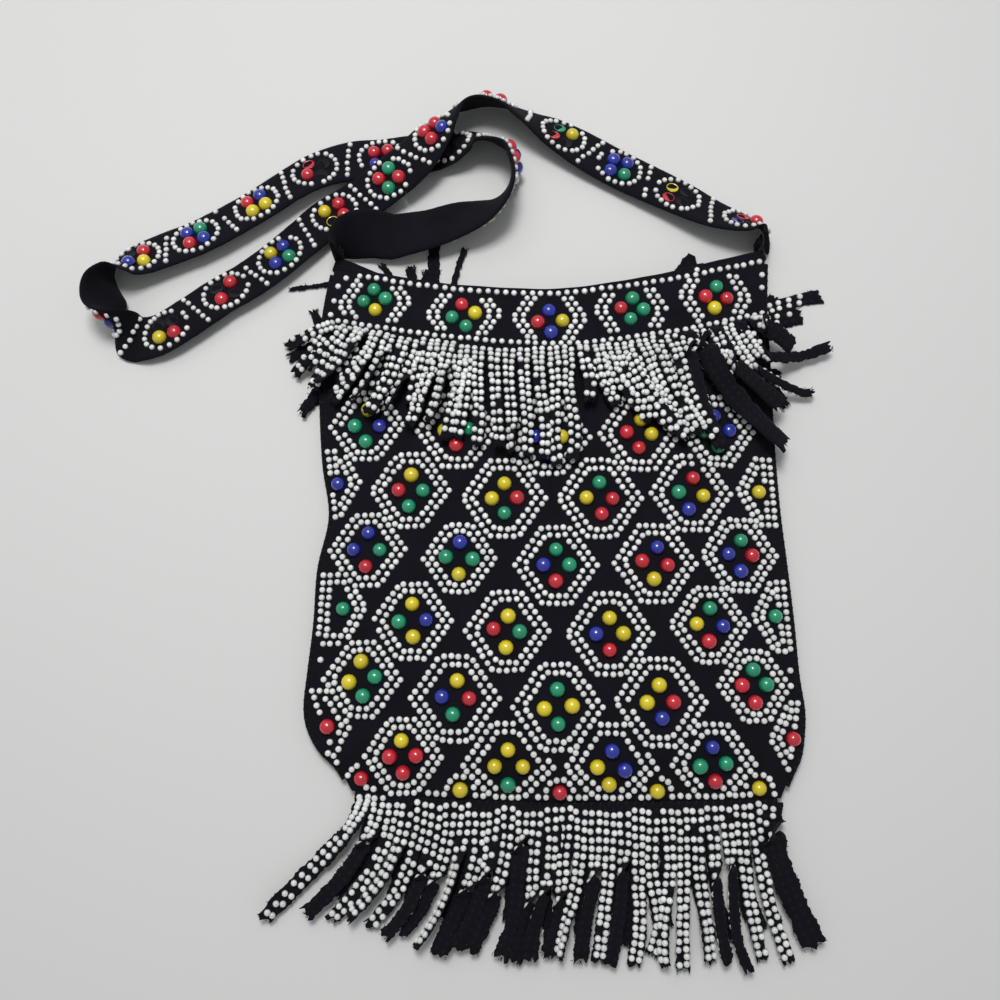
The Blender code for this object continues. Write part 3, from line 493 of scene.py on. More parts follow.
def mouth_line(u):
    """Height of the mouth edge: rising towards each corner with a power of the distance from the middle."""
    p = pouch()
    rise = np.where(u < 0, p.mouth_rise_left, p.mouth_rise_right)
    return p.mouth_height + rise * np.abs(u) ** MOUTH_CURVE_POWER


def place(u, t):
    """Plan position: across between the two edges at t, and along between the base and the mouth at u."""
    u, t = np.broadcast_arrays(np.asarray(u, float), np.asarray(t, float))
    left, right = edges(t)
    base = base_line(u)
    return left + (right - left) * (u + 1) / 2, base + (mouth_line(u) - base) * t


def shares_at(x, y):
    """The u and t of a plan position, found by solving for each in turn again and again."""
    u, t = np.zeros(np.shape(x)), np.full(np.shape(x), 0.5)
    for _ in range(LOCATE_STEPS):
        left, right = edges(t)
        u = np.clip(2 * (x - left) / (right - left) - 1, -1, 1)
        base = base_line(u)
        t = np.clip((y - base) / (mouth_line(u) - base), 0, 1)
    return u, t


def interior(u, t):
    """Height between the walls: a crown of one minus u cubed, rolled down at the base and lower at
    the mouth."""
    p = pouch()
    roll = 1 - (1 - np.minimum(t / BASE_ROLL_SHARE, 1)) ** 2
    near_mouth = np.maximum(t - 1 + MOUTH_FLATTEN_SHARE, 0) / MOUTH_FLATTEN_SHARE
    roll = roll * (1 - MOUTH_DROP_SHARE * near_mouth**2)
    return p.clearance + (p.interior - p.clearance) * (1 - np.abs(u) ** CROWN_POWER) * roll


def back_top():
    """Height of the back wall's upper surface: its beads' height and the cloth."""
    return beads().large_height + pouch().cloth


def ripple(x, y):
    """Soft waves in the cloth: three crossing sines, fading out towards the side edges."""
    waves = sum(
        share * np.sin(2 * math.pi * (x / across + y / along) + phase)
        for across, along, phase, share in RIPPLE_WAVES
    )
    near_side = (np.abs(x) / pouch().half_width - RIPPLE_FADE_START) / RIPPLE_FADE_WIDTH
    return pouch().ripple * waves * (1 - smoothstep(near_side))


def front_outside(u, t):
    """Upper surface of the front wall, over the back wall's top and the interior, with its ripples."""
    x, y = place(u, t)
    return back_top() + interior(u, t) + pouch().cloth + ripple(x, y)


def front_height(x, y):
    """Upper surface of the front wall over a plan position."""
    return front_outside(*shares_at(x, y))


def back_underside(x, y):
    """Lower surface of the back wall: level with the large beads' feet."""
    return np.full(np.shape(x), beads().large_height)


def stand_on(height, x, y, up=1):
    """Points on a surface and its outward directions: minus both slopes, and one upwards."""
    slope_x = (height(x + SLOPE_STEP, y) - height(x - SLOPE_STEP, y)) / (2 * SLOPE_STEP)
    slope_y = (height(x, y + SLOPE_STEP) - height(x, y - SLOPE_STEP)) / (2 * SLOPE_STEP)
    outs = unit(np.stack([-slope_x, -slope_y, np.ones_like(slope_x)], -1)) * up
    return np.stack([x, y, height(x, y)], -1), outs


def spaced(points, gap):
    """Points without those that lie closer than the gap to an earlier one."""
    apart = np.linalg.norm(points[:, None] - points[None], axis=-1)
    return points[~np.tril(apart < gap, -1).any(1)]


def distances(paths):
    """How far along its path each point lies, as the sum of the steps before it."""
    steps = np.linalg.norm(np.diff(paths, axis=-2), axis=-1)
    return np.concatenate([np.zeros((*steps.shape[:-1], 1)), np.cumsum(steps, -1)], -1)


def at_distances(s, along, columns):
    """Values of every column at the distances s, straight between the points that lie along."""
    return np.stack([np.interp(s, along, column) for column in columns.T], -1)


# Meshes


def add_piece(name, points, face_sets, material, uvs=None, smooth=True):
    """A mesh from an array of points and arrays of faces with equal numbers of corners."""
    corners = np.concatenate([faces.ravel() for faces in face_sets]).astype(np.int32)
    sizes = np.concatenate([np.full(len(faces), faces.shape[1]) for faces in face_sets])
    starts = np.concatenate([[0], np.cumsum(sizes)[:-1]]).astype(np.int32)
    mesh = bpy.data.meshes.new(name)
    mesh.vertices.add(len(points))
    mesh.vertices.foreach_set("co", np.ascontiguousarray(points, np.float32).ravel())
    mesh.loops.add(len(corners))
    mesh.loops.foreach_set("vertex_index", corners)
    mesh.polygons.add(len(sizes))
    mesh.polygons.foreach_set("loop_start", starts)
    mesh.update(calc_edges=True)
    if uvs is not None:
        layer = mesh.uv_layers.new(name="pattern")
        layer.data.foreach_set("uv", np.ascontiguousarray(uvs[corners], np.float32).ravel())
    if smooth:
        mesh.shade_smooth()
    mesh.materials.append(material)
    piece = bpy.data.objects.new(name, mesh)
    bpy.context.scene.collection.objects.link(piece)
    return piece


def grid_faces(rows, columns):
    """Quads of a grid of points, row by row."""
    i = np.arange(rows * columns).reshape(rows, columns)
    return np.stack([i[:-1, :-1], i[:-1, 1:], i[1:, 1:], i[1:, :-1]], -1).reshape(-1, 4)


def slab_faces(rows, columns):
    """A closed slab: the upper grid, the lower grid turned over, and a rim of quads between them."""
    count = rows * columns
    top = grid_faces(rows, columns)
    i = np.arange(count).reshape(rows, columns)
    round_it = np.concatenate([i[0, :-1], i[:-1, -1], i[-1, :0:-1], i[:0:-1, 0]])
    after = np.roll(round_it, -1)
    rim = np.stack([after, round_it, round_it + count, after + count], -1)
    return np.concatenate([top, top[:, ::-1] + count, rim])


def add_slabs(name, top, bottom, uvs, material):
    """Closed slabs between upper and lower grids, each array being slabs by rows by columns by three."""
    slabs, rows, columns = top.shape[:3]
    points = np.stack([top, bottom], 1).reshape(-1, 3)
    both = np.stack([uvs, uvs], 1).reshape(-1, 2)
    faces = slab_faces(rows, columns)[None] + (np.arange(slabs) * 2 * rows * columns)[:, None, None]
    return add_piece(name, points, [faces.reshape(-1, 4)], material, both)


def add_ribbons(
    name, centres, across, faces, half_widths, thickness, columns, material, fray=0.0, seed=1, curl=None
):
    """Flat bands along centrelines. A point is its centre, plus c times the half width across, plus
    half the thickness times the fourth root of one minus c to the eighth along the face, with c from
    -1 to 1. Fraying moves the edges and the last row by random lengths, and a curl lifts the middle."""
    chance = np.random.default_rng(seed)
    count, rows = centres.shape[:2]
    c = np.linspace(-1, 1, columns)
    wide = np.repeat(half_widths[..., None], columns, -1)
    wide = wide + (np.abs(c) == 1) * fray * chance.uniform(*FRAY_EDGE_SHARES, wide.shape)
    level = thickness / 2 * np.maximum(1 - np.abs(c) ** 8, RIM_LEAST_SHARE) ** 0.25
    middle = centres[:, :, None] + across[:, :, None] * (c * wide)[..., None]
    if curl is not None:
        middle[..., 2] += curl[..., None] * (1 - c**2)
    travel = unit(np.gradient(centres, axis=1))
    push = np.zeros((count, rows, columns))
    push[:, -1] = fray * chance.uniform(*FRAY_TIP_SHARES, (count, columns))
    push[:, -2] = push[:, -1] * 0.4
    middle = middle + travel[:, :, None] * push[..., None]
    lift = faces[:, :, None] * level[None, None, :, None]
    uvs = np.stack(np.broadcast_arrays(c * wide, distances(centres)[..., None]), -1)
    return add_slabs(name, middle + lift, middle - lift, uvs, material)


def repeated(shapes, count, step):
    """Faces of one shape's parts, repeated for every copy of its points."""
    shift = (np.arange(count) * step)[:, None, None]
    return [(shape[None] + shift).reshape(-1, shape.shape[1]) for shape in shapes]


def dome_template(profile, sides):
    """A turned profile: for each ring, radius share times cosine and sine, and height share, closed
    above by a middle point and below by one face."""
    rings = np.array(profile[:-1])
    angles = 2 * math.pi * (np.arange(sides) + 0.5) / sides
    ring = np.stack([np.cos(angles), np.sin(angles)], -1)
    flat = (rings[:, None, :1] * ring[None]).reshape(-1, 2)
    points = np.concatenate([flat, np.repeat(rings[:, 1], sides)[:, None]], 1)
    points = np.concatenate([points, [[0, 0, profile[-1][1]]]])
    i = np.arange(len(rings) * sides).reshape(len(rings), sides)
    after = np.roll(i, -1, 1)
    quads = np.stack([i[:-1], after[:-1], after[1:], i[1:]], -1).reshape(-1, 4)
    tip = np.full(sides, len(points) - 1)
    return points, quads, np.stack([i[-1], after[-1], tip], -1), i[0][::-1][None]


def add_domes(name, spots, outs, size, profile, sides, material, seed=1, tilt=0.05):
    """Beads that stand on a surface. A point is its spot, plus the radius times the template across
    the two tangent directions, plus the height times the template along the outward direction."""
    radius, height = size
    chance = np.random.default_rng(seed)
    outs = unit(outs + chance.normal(0, tilt, outs.shape))
    other = np.where(np.abs(outs[:, :1]) < 0.8, [[1.0, 0, 0]], [[0, 1.0, 0]])
    side = unit(np.cross(other, outs))
    turn = chance.uniform(0, 2 * math.pi, (len(spots), 1))
    side = side * np.cos(turn) + np.cross(outs, side) * np.sin(turn)
    along = np.cross(outs, side)
    points, *shapes = dome_template(profile, sides)
    reach = radius * chance.uniform(*BEAD_SIZE_SHARES, (len(spots), 1, 1))
    placed = spots[:, None] + reach * (side[:, None] * points[:, :1] + along[:, None] * points[:, 1:2])
    placed = placed + height * outs[:, None] * points[:, 2:]
    share = np.linalg.norm(points[:, :2], axis=1)
    uvs = np.stack(np.broadcast_arrays(share[None], chance.uniform(0, 1, (len(spots), 1))), -1)
    faces = repeated(shapes, len(spots), len(points))
    return add_piece(name, placed.reshape(-1, 3), faces, material, uvs.reshape(-1, 2))


def add_tubes(name, paths, radius, sides, material):
    """Round threads along paths: a point is its path's, plus the radius round the travel direction."""
    count, rows = paths.shape[:2]
    travel = unit(np.gradient(paths, axis=1))
    other = np.where(np.abs(travel[..., 2:3]) < 0.8, [0, 0, 1.0], [1.0, 0, 0])
    side = unit(np.cross(travel, other))
    out = np.cross(side, travel)
    angles = 2 * math.pi * np.arange(sides) / sides
    ring = side[:, :, None] * np.cos(angles)[:, None] + out[:, :, None] * np.sin(angles)[:, None]
    points = paths[:, :, None] + radius * ring
    i = np.arange(rows * sides).reshape(rows, sides)
    after = np.roll(i, -1, 1)
    quads = np.stack([i[:-1], i[1:], after[1:], after[:-1]], -1).reshape(-1, 4)
    faces = repeated((quads, i[0][None], i[-1][::-1][None]), count, rows * sides)
    around = np.arange(sides) * 2 * math.pi * radius / sides
    uvs = np.stack(np.broadcast_arrays(around, distances(paths)[..., None]), -1).reshape(-1, 2)
    return add_piece(name, points.reshape(-1, 3), faces, material, uvs)


# Materials


def new_group(name, inputs, outputs):
    """An empty shader node group with named float sockets, or vector ones where the name says so."""
    tree = bpy.data.node_groups.new(name, "ShaderNodeTree")
    for label in inputs:
        kind = "NodeSocketVector" if label == "Vector" else "NodeSocketFloat"
        tree.interface.new_socket(label, in_out="INPUT", socket_type=kind)
    for label in outputs:
        tree.interface.new_socket(label, in_out="OUTPUT", socket_type="NodeSocketFloat")
    return tree, tree.nodes.new("NodeGroupInput"), tree.nodes.new("NodeGroupOutput")


def node(tree, kind, **values):
    """A node whose values are set by socket name, or by attribute where no socket has that name."""
    made = tree.nodes.new(kind)
    for key, value in values.items():
        label = key.replace("_", " ").title()
        if label in made.inputs and key not in ("operation", "data_type", "uv_map"):
            made.inputs[label].default_value = value
        else:
            setattr(made, key, value)
    return made


def math_node(tree, operation, first, second):
    """One arithmetic step on two values, each a socket or a number."""
    made = tree.nodes.new("ShaderNodeMath")
    made.operation = operation
    for socket, value in zip(made.inputs, (first, second)):
        if isinstance(value, bpy.types.NodeSocket):
            tree.links.new(value, socket)
        else:
            socket.default_value = value
    return made.outputs[0]


def knit_group():
    """Knitted cloth: rounded ribs along, crossed by finer courses that a noise makes uneven, and a
    slow patchiness. Puts out the stitches' height and a shade."""
    found = bpy.data.node_groups.get("knit_cloth")
    if found:
        return found
    tree, start, end = new_group("knit_cloth", ("Vector", "Rib Scale", "Patch Scale"), ("Height", "Shade"))
    calc, link = partial(math_node, tree), tree.links.new
    ribs = node(tree, "ShaderNodeTexWave", bands_direction="X", distortion=0.6, detail=1.0)
    courses = node(tree, "ShaderNodeTexWave", bands_direction="Y", distortion=1.2, detail=1.0)
    patches = node(tree, "ShaderNodeTexNoise", detail=3.0)
    lint = node(tree, "ShaderNodeTexNoise", detail=2.0)
    for texture in (ribs, courses, patches, lint):
        link(start.outputs["Vector"], texture.inputs["Vector"])
    rib_scale = start.outputs["Rib Scale"]
    link(rib_scale, ribs.inputs["Scale"])
    link(calc("MULTIPLY", rib_scale, 1.3), courses.inputs["Scale"])
    link(start.outputs["Patch Scale"], patches.inputs["Scale"])
    link(calc("MULTIPLY", rib_scale, 9.0), lint.inputs["Scale"])
    weave = calc("MULTIPLY", ribs.outputs["Fac"], courses.outputs["Fac"])
    fuzz = calc("MULTIPLY", lint.outputs["Fac"], 0.6)
    link(calc("ADD", weave, fuzz), end.inputs["Height"])
    slow = calc("MULTIPLY", patches.outputs["Fac"], 0.7)
    link(calc("ADD", calc("MULTIPLY", weave, 0.5), slow), end.inputs["Shade"])
    return tree


def bead_group():
    """Moulded bead: a tone that differs from bead to bead, painted shade that darkens it towards the rim and
    in the small dimple at the middle, and fine scratches."""
    found = bpy.data.node_groups.get("bead_tone_and_painted_shade")
    if found:
        return found
    tree, start, end = new_group("bead_tone_and_painted_shade", ("Vector", "Dimple"), ("Shade", "Height"))
    calc, link = partial(math_node, tree), tree.links.new
    split = tree.nodes.new("ShaderNodeSeparateXYZ")
    link(start.outputs["Vector"], split.inputs[0])
    # Painted shade: darker towards each bead's rim, where its dome turns away from the light.
    rim = calc("MULTIPLY", calc("POWER", split.outputs["X"], 3.0), 0.35)
    # Painted shade: darker in the small dimple at the middle.
    near = calc("SUBTRACT", 1.0, calc("MULTIPLY", split.outputs["X"], 4.5))
    dimple = calc("MULTIPLY", calc("MAXIMUM", near, 0.0), start.outputs["Dimple"])
    own = calc("MULTIPLY", split.outputs["Y"], 0.35)
    link(calc("ADD", calc("ADD", own, dimple), rim), end.inputs["Shade"])
    where = tree.nodes.new("ShaderNodeTexCoord")
    scratches = node(tree, "ShaderNodeTexNoise", scale=2600.0, detail=3.0)
    link(where.outputs["Object"], scratches.inputs["Vector"])
    link(scratches.outputs["Fac"], end.inputs["Height"])
    return tree


def new_material(name):
    """A material with its node tree and its main shader."""
    made = bpy.data.materials.new(name)
    made.use_nodes = True
    return made, made.node_tree, made.node_tree.nodes["Principled BSDF"]


def pattern_vector(tree):
    """Distances on the cloth, or the place on a bead, that a piece carries with its mesh."""
    made = tree.nodes.new("ShaderNodeUVMap")
    made.uv_map = "pattern"
    return made.outputs["UV"]


def mix_by(tree, factor, dark, light, target):
    """A colour between two, by a mask, into a colour socket."""
    ramp = tree.nodes.new("ShaderNodeMix")
    ramp.data_type = "RGBA"
    ramp.inputs[6].default_value = (*dark, 1)
    ramp.inputs[7].default_value = (*light, 1)
    tree.links.new(factor, ramp.inputs[0])
    tree.links.new(ramp.outputs[2], target)


def bump_by(tree, height, strength, distance, shader):
    """Fine relief on a shader from a height."""
    bump = node(tree, "ShaderNodeBump", strength=strength, distance=distance)
    tree.links.new(height, bump.inputs["Height"])
    tree.links.new(bump.outputs["Normal"], shader.inputs["Normal"])


def cloth_material(name, base, rib_scale, roughness, sheen, bump):
    """Matt knitted cloth, a little lighter on its stitches and in worn patches."""
    found = bpy.data.materials.get(name)
    if found:
        return found
    made, tree, shader = new_material(name)
    knit = tree.nodes.new("ShaderNodeGroup")
    knit.node_tree = knit_group()
    knit.inputs["Rib Scale"].default_value = rib_scale
    knit.inputs["Patch Scale"].default_value = 60.0
    tree.links.new(pattern_vector(tree), knit.inputs["Vector"])
    dark = tuple(0.5 * c for c in base)
    light = tuple(2.0 * c for c in base)
    mix_by(tree, knit.outputs["Shade"], dark, light, shader.inputs["Base Color"])
    bump_by(tree, knit.outputs["Height"], 0.55, bump, shader)
    shader.inputs["Roughness"].default_value = roughness
    shader.inputs["Specular IOR Level"].default_value = 0.07
    shader.inputs["Sheen Weight"].default_value = sheen
    shader.inputs["Sheen Roughness"].default_value = 0.5
    return made


def bead_material(name, base, dimple, roughness, coat):
    """Moulded plastic with its own tone on each bead, and painted shade at its rim and in its dimple."""
    found = bpy.data.materials.get(name)
    if found:
        return found
    made, tree, shader = new_material(name)
    bead = tree.nodes.new("ShaderNodeGroup")
    bead.node_tree = bead_group()
    bead.inputs["Dimple"].default_value = dimple
    tree.links.new(pattern_vector(tree), bead.inputs["Vector"])
    # The shade mixes each bead's own tone with painted shade at its rim and in its dimple.
    mix_by(tree, bead.outputs["Shade"], base, tuple(0.52 * c for c in base), shader.inputs["Base Color"])
    bump_by(tree, bead.outputs["Height"], 0.12, 0.02 * MM, shader)
    shader.inputs["Roughness"].default_value = roughness
    shader.inputs["Coat Weight"].default_value = coat
    shader.inputs["Coat Roughness"].default_value = 0.06
    return made


def black_cloth():
    return cloth_material("black_knit", bpy.context.scene.bag_colours.cloth, 330.0, 0.95, 0.03, 0.16 * MM)


def strip_cloth():
    """The black cloth with faint marks, where the feet of the bead columns press through: each mark
    is one minus the squared distance to its foot over its squared radius."""
    found = bpy.data.materials.get("strip_knit")
    if found:
        return found
    made = black_cloth().copy()
    made.name = "strip_knit"
    tree, f = made.node_tree, fringes()
    calc, link = partial(math_node, tree), tree.links.new
    split = tree.nodes.new("ShaderNodeSeparateXYZ")
    link(pattern_vector(tree), split.inputs[0])
    column = calc("MODULO", calc("ABSOLUTE", split.outputs["X"], 0.0), 2 * f.column_half)
    column = calc("SUBTRACT", column, f.column_half)
    row = calc("SUBTRACT", calc("MODULO", split.outputs["Y"], f.row_pitch), f.row_pitch / 2)
    away = calc("ADD", calc("MULTIPLY", column, column), calc("MULTIPLY", row, row))
    near = calc("SUBTRACT", 1.0, calc("MULTIPLY", away, 1 / MARK_RADIUS**2))
    colour_socket = tree.nodes["Principled BSDF"].inputs["Base Color"]
    mark = tree.nodes.new("ShaderNodeMix")
    mark.data_type = "RGBA"
    mark.inputs[7].default_value = (*MARK_COLOUR, 1)
    link(calc("MULTIPLY", calc("MAXIMUM", near, 0.0), MARK_STRENGTH), mark.inputs[0])
    link(colour_socket.links[0].from_socket, mark.inputs[6])
    link(mark.outputs[2], colour_socket)
    return made


def lining_cloth():
    return cloth_material("woven_lining", bpy.context.scene.bag_colours.lining, 620.0, 0.7, 0.05, 0.06 * MM)


def sewing_thread():
    return cloth_material("sewing_thread", bpy.context.scene.bag_colours.thread, 900.0, 0.75, 0.1, 0.05 * MM)


def white_plastic():
    # 0.75 is how dark the painted shade in the dimple is.
    return bead_material("white_plastic", bpy.context.scene.bag_colours.white, 0.75, 0.34, 0.15)


def large_plastic(letter):
    name = COLOUR_NAMES[letter]
    return bead_material(name + "_plastic", getattr(bpy.context.scene.bag_colours, name), 0.0, 0.30, 1.0)


# Where pieces belong


def settle(piece, slot, nodes, body, *bend):
    """Hides the nodes that a piece stands for. It rides on a body, or where a second body and two places
    follow, its place is baked into its mesh. The slot is not used."""
    if nodes:
        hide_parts(*nodes)
    if bend:
        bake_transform(piece)
    else:
        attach(piece, body)


def wall_motion(side):
    """The back, side 0, is the pouch's own. A piece of the front, side -1 or 1, is given the pouch and the
    opening wall, with places at the side seam and further in."""
    if side == 0:
        return ("pouch",)
    half = side * pouch().half_width
    return "pouch", "front_wall", (half * SEAM_BEND_SHARE, 0, 0), (half * WALL_BEND_SHARE, 0, 0)


def strap_motion(looped):
    """The loop is given the strap and its own lift, with its hinge and a place further along the strap."""
    if not looped:
        return ("strap",)
    lift = next(joint for joint in frame["joints"] if joint["name"] == "strap_loop_lifts")
    start, axis = np.array(lift["pos_m"]), lift["axis"]
    onward = start + STRAP_BEND_REACH * np.array([-axis[1], axis[0], 0])
    return "strap", "strap_loop", tuple(start), tuple(onward)


def cad_box(name):
    """Lowest corner, middle and size of a CAD node's box."""
    low, high = (np.array(corner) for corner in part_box(name))
    return low, (low + high) / 2, high - low


def settle_fringe(made, cad_node, *motion):
    """The strips stand for a node, and their beads and threads are settled the same way."""
    for piece, slot, nodes in zip(made, FRINGE_SLOTS, ([cad_node], (), ())):
        settle(piece, slot, nodes, *motion)


def wall_columns(side, reach, counts):
    """Places u of a wall's columns: across all of the back, or from the middle to a side in front."""
    if side == 0:
        return np.linspace(-reach, reach, counts[0])
    return np.sort(side * np.linspace(0, reach, counts[1]))


# Cloth of the pouch


def add_wall(name, us, ts, top, thickness, material):
    """A wall over all u and t: its upper surface is given, and the lower one lies straight below."""
    u, t = np.meshgrid(us, ts)
    upper = np.stack([*place(u, t), top(u, t)], -1)[None]
    return add_slabs(name, upper, upper - [0, 0, thickness], upper[..., :2], material)


def back_outside(u, t):
    """Upper surface of the back wall's cloth: level, with low ripples of its own."""
    x, y = place(u, t)
    return back_top() + BACK_RIPPLE_SHARE * ripple(x + BACK_RIPPLE_SHIFT, y)


def back_inside(u, t):
    """Upper surface of the back lining, level above the back wall."""
    p = pouch()
    return np.full(np.shape(u), back_top() + p.clearance + p.lining)


def front_inside(u, t):
    """Upper surface of the front lining, just under the front wall."""
    return back_top() + interior(u, t) - pouch().clearance


def cuff_outside(u, t):
    """The cuff is a second layer: it stands a little above the panel, most at its lower edge."""
    return front_outside(u, t) + pouch().clearance * smoothstep((1 - t) / CUFF_RAISE_SHARE)


# Cloths of the back and of the front's halves: names of panel, cuff and lining, side, wall, upper
# surfaces of the three, and the seams that hold them.
WALLS = (
    (("back_wall", "back_cuff_band", "back_inner_cloth"), 0, "back",
     (back_outside, back_outside, back_inside), ["bottom_seam", "left_side_seam", "right_side_seam"]),
    (("front_wall_left", "front_cuff_left", "front_inner_left"), -1, "front",
     (front_outside, cuff_outside, front_inside), ["bottom_seam", "left_side_seam"]),
    (("front_wall_right", "front_cuff_right", "front_inner_right"), 1, "front",
     (front_outside, cuff_outside, front_inside), ["bottom_seam", "right_side_seam"]),
)


def make_walls():
    """Panels, cuffs and linings of the back, and of the front in two halves that meet in the middle.
    Cut sizes are the width of the pouch or of its half, and each cloth's share of the height."""
    p = pouch()
    panel_rows = np.linspace(0, CUFF_BASE_SHARE, PANEL_ROWS)
    cuff_rows = np.linspace(CUFF_BASE_SHARE - CUFF_OVERLAP_SHARE, 1, CUFF_ROWS)
    inner_rows = np.linspace(LINING_FOOT_SHARE, LINING_TOP_SHARE, LINING_ROWS)
    for names, side, wall, tops, seams in WALLS:
        across = wall_columns(side, 1, WALL_COLUMNS)
        inner = wall_columns(side, LINING_WIDTH_SHARE, LINING_COLUMNS)
        panel = add_wall(names[0], across, panel_rows, tops[0], p.cloth, black_cloth())
        settle(panel, "black_cloth", [wall + "_panel"], *wall_motion(side))
        cuff = add_wall(names[1], across, cuff_rows, tops[1], p.cloth, black_cloth())
        settle(cuff, "black_cloth", [wall + "_cuff"], *wall_motion(side))
        inside = add_wall(names[2], inner, inner_rows, tops[2], p.lining, lining_cloth())
        settle(inside, "lining_cloth", [wall + "_lining"], *wall_motion(side))


def hem_reach(u):
    """How far the hem reaches beyond the cuff: shares of its full height, more to the right."""
    return pouch().hem_height * np.interp(u, HEM_PLACES, HEM_SHARES)


def make_hems():
    """Folded hems beyond the mouth edges, each with a row of machine stitches. A hem's middle line
    lies halfway between the cuff's edge and the hem's reach, at the level of its wall."""
    p = pouch()
    for name, us, top, side in (
        ("front_hem_left", np.linspace(-1, 0, 60), front_outside, -1),
        ("front_hem_right", np.linspace(0, 1, 60), front_outside, 1),
        ("back_hem", np.linspace(-1, 1, 120), back_outside, 0),
    ):
        half = (hem_reach(us) + p.clearance) / 2
        x, y = place(us, 1)
        path = np.stack([x, y - p.clearance + half, top(us, np.ones_like(us)) - p.cloth / 2], -1)
        travel = unit(np.gradient(path, axis=0))
        across = unit(np.cross(travel, UP))
        face = np.cross(across, travel)
        thick = p.cloth * HEM_THICKNESS_SHARE
        hem = add_ribbons(name, path[None], across[None], face[None], half[None], thick, 9, black_cloth())
        wall = "front" if side else "back"
        settle(hem, "black_cloth", [wall + "_mouth_hem"], *wall_motion(side))
        stitches = add_stitches(name + "_stitches", path + face * p.cloth * 0.6, across)
        settle(stitches, "thread", (), *wall_motion(side))


def add_stitches(name, path, across):
    """Short raised stitches beside a path: each is a bowed thread, a sine's arch above the cloth."""
    along = distances(path)
    starts = np.arange(STITCH_PITCH, along[-1] - STITCH_PITCH, STITCH_PITCH)
    s = starts[:, None] + np.linspace(0, STITCH_SHARE * STITCH_PITCH, STITCH_ROWS)
    rise = STITCH_ARCH * np.sin(np.linspace(0, math.pi, STITCH_ROWS))
    spots = at_distances(s, along, path) + at_distances(s, along, across) * STITCH_OFFSET
    return add_tubes(name, spots + UP * rise[:, None], STITCH_RADIUS, 5, sewing_thread())


def make_seams():
    """Rolled side and bottom seams, oversewn with a thread that winds round them as a helix."""
    p = pouch()
    level = back_top() + p.clearance / 2
    ts = np.linspace(0.02, 0.99, 90)
    for label, side in (("left", -1), ("right", 1)):
        x, y = place(side, ts)
        path = np.stack([x + side * p.side_seam * 0.75, y, np.full_like(x, level)], -1)
        add_seam(f"{label}_seam", path, p.side_seam, f"{label}_side_seam")
    x, y = place(np.linspace(-0.985, 0.985, 90), 0)
    path = np.stack([x, y - 0.8 * p.base_seam, np.full_like(x, level)], -1)
    add_seam("base_seam", path, p.base_seam, "bottom_seam")


def add_seam(name, path, radius, cad_node):
    """A roll of cloth along a path, and a thread at the seam's radius that goes round once a pitch."""
    roll = add_tubes(name, path[None], radius * 0.94, 14, black_cloth())
    settle(roll, "black_cloth", [cad_node], "pouch")
    along = distances(path)
    s = np.arange(0, along[-1], COIL_PITCH / 10)
    middle = at_distances(s, along, path)
    side = unit(np.cross(unit(np.gradient(middle, axis=0)), UP))
    angle = (2 * math.pi * s / COIL_PITCH)[:, None]
    coil = middle + radius * (side * np.cos(angle) + UP * np.sin(angle))
    thread = add_tubes(name + "_thread", coil[None], COIL_RADIUS, 5, sewing_thread())
    settle(thread, "thread", (), "pouch")


# Beadwork of the pouch


def walk(corners, spacing, closed=True):
    """Points at equal spacing along straight lines through corners."""
    corners = np.asarray(corners)
    line = np.concatenate([corners, corners[:1]]) if closed else corners
    along = distances(line)
    count = max(int(round(along[-1] / spacing)), 2)
    return at_distances(np.linspace(0, along[-1], count, endpoint=not closed), along, line)


def hexagon(x, y, wide, high, flat, lowest):
    """Six corners with points at the left and right, none below the lowest line."""
    corners = ((wide, 0), (flat, high), (-flat, high), (-wide, 0), (-flat, -high), (flat, -high))
    return [(x + a, max(y + b, lowest)) for a, b in corners]


def panel_ring(x, y, size):
    """Two rows of small beads round a medallion, the inner one a step further in on every side."""
    b = beads()
    lowest = float(base_border(np.array(x / pouch().half_width)))
    outer = hexagon(x, y, b.ring_width * size, b.ring_height * size, b.ring_flat * size, lowest)
    inner = hexagon(
        x, y, (b.ring_width - 1.28 * b.ring_step) * size, (b.ring_height - b.ring_step) * size,
        b.ring_flat * size - 0.62 * b.ring_step, lowest + b.ring_step,
    )
    return np.concatenate([walk(outer, b.white_spacing), walk(inner, b.white_spacing)])


def cuff_ring(u, t):
    """Two bent rows on each side of a cuff medallion, from the upper border row to the lower one."""
    b = beads()
    x = float(place(u, t)[0])
    top, foot = float(mouth_border(np.array(u))), float(foot_border(np.array(u)))
    middle, high = (top + foot) / 2, (top - foot) / 2
    rows = []
    for inset in (0, 1):
        wide = b.cuff_width - inset * b.cuff_step
        flat = b.cuff_flat - inset * 0.8 * b.cuff_step
        for side in (-1, 1):
            end, tip = x + side * flat, x + side * wide
            corners = ((end, middle + high), (tip, middle), (end, middle - high))
            rows.append(walk(corners, 0.9 * b.white_spacing, closed=False))
    return np.concatenate(rows)


def four_offsets(across, along):
    """The four large beads of a medallion from its middle: top, left, right and bottom."""
    return np.array([(0, along), (-across, 0), (across, 0), (0, -along)])


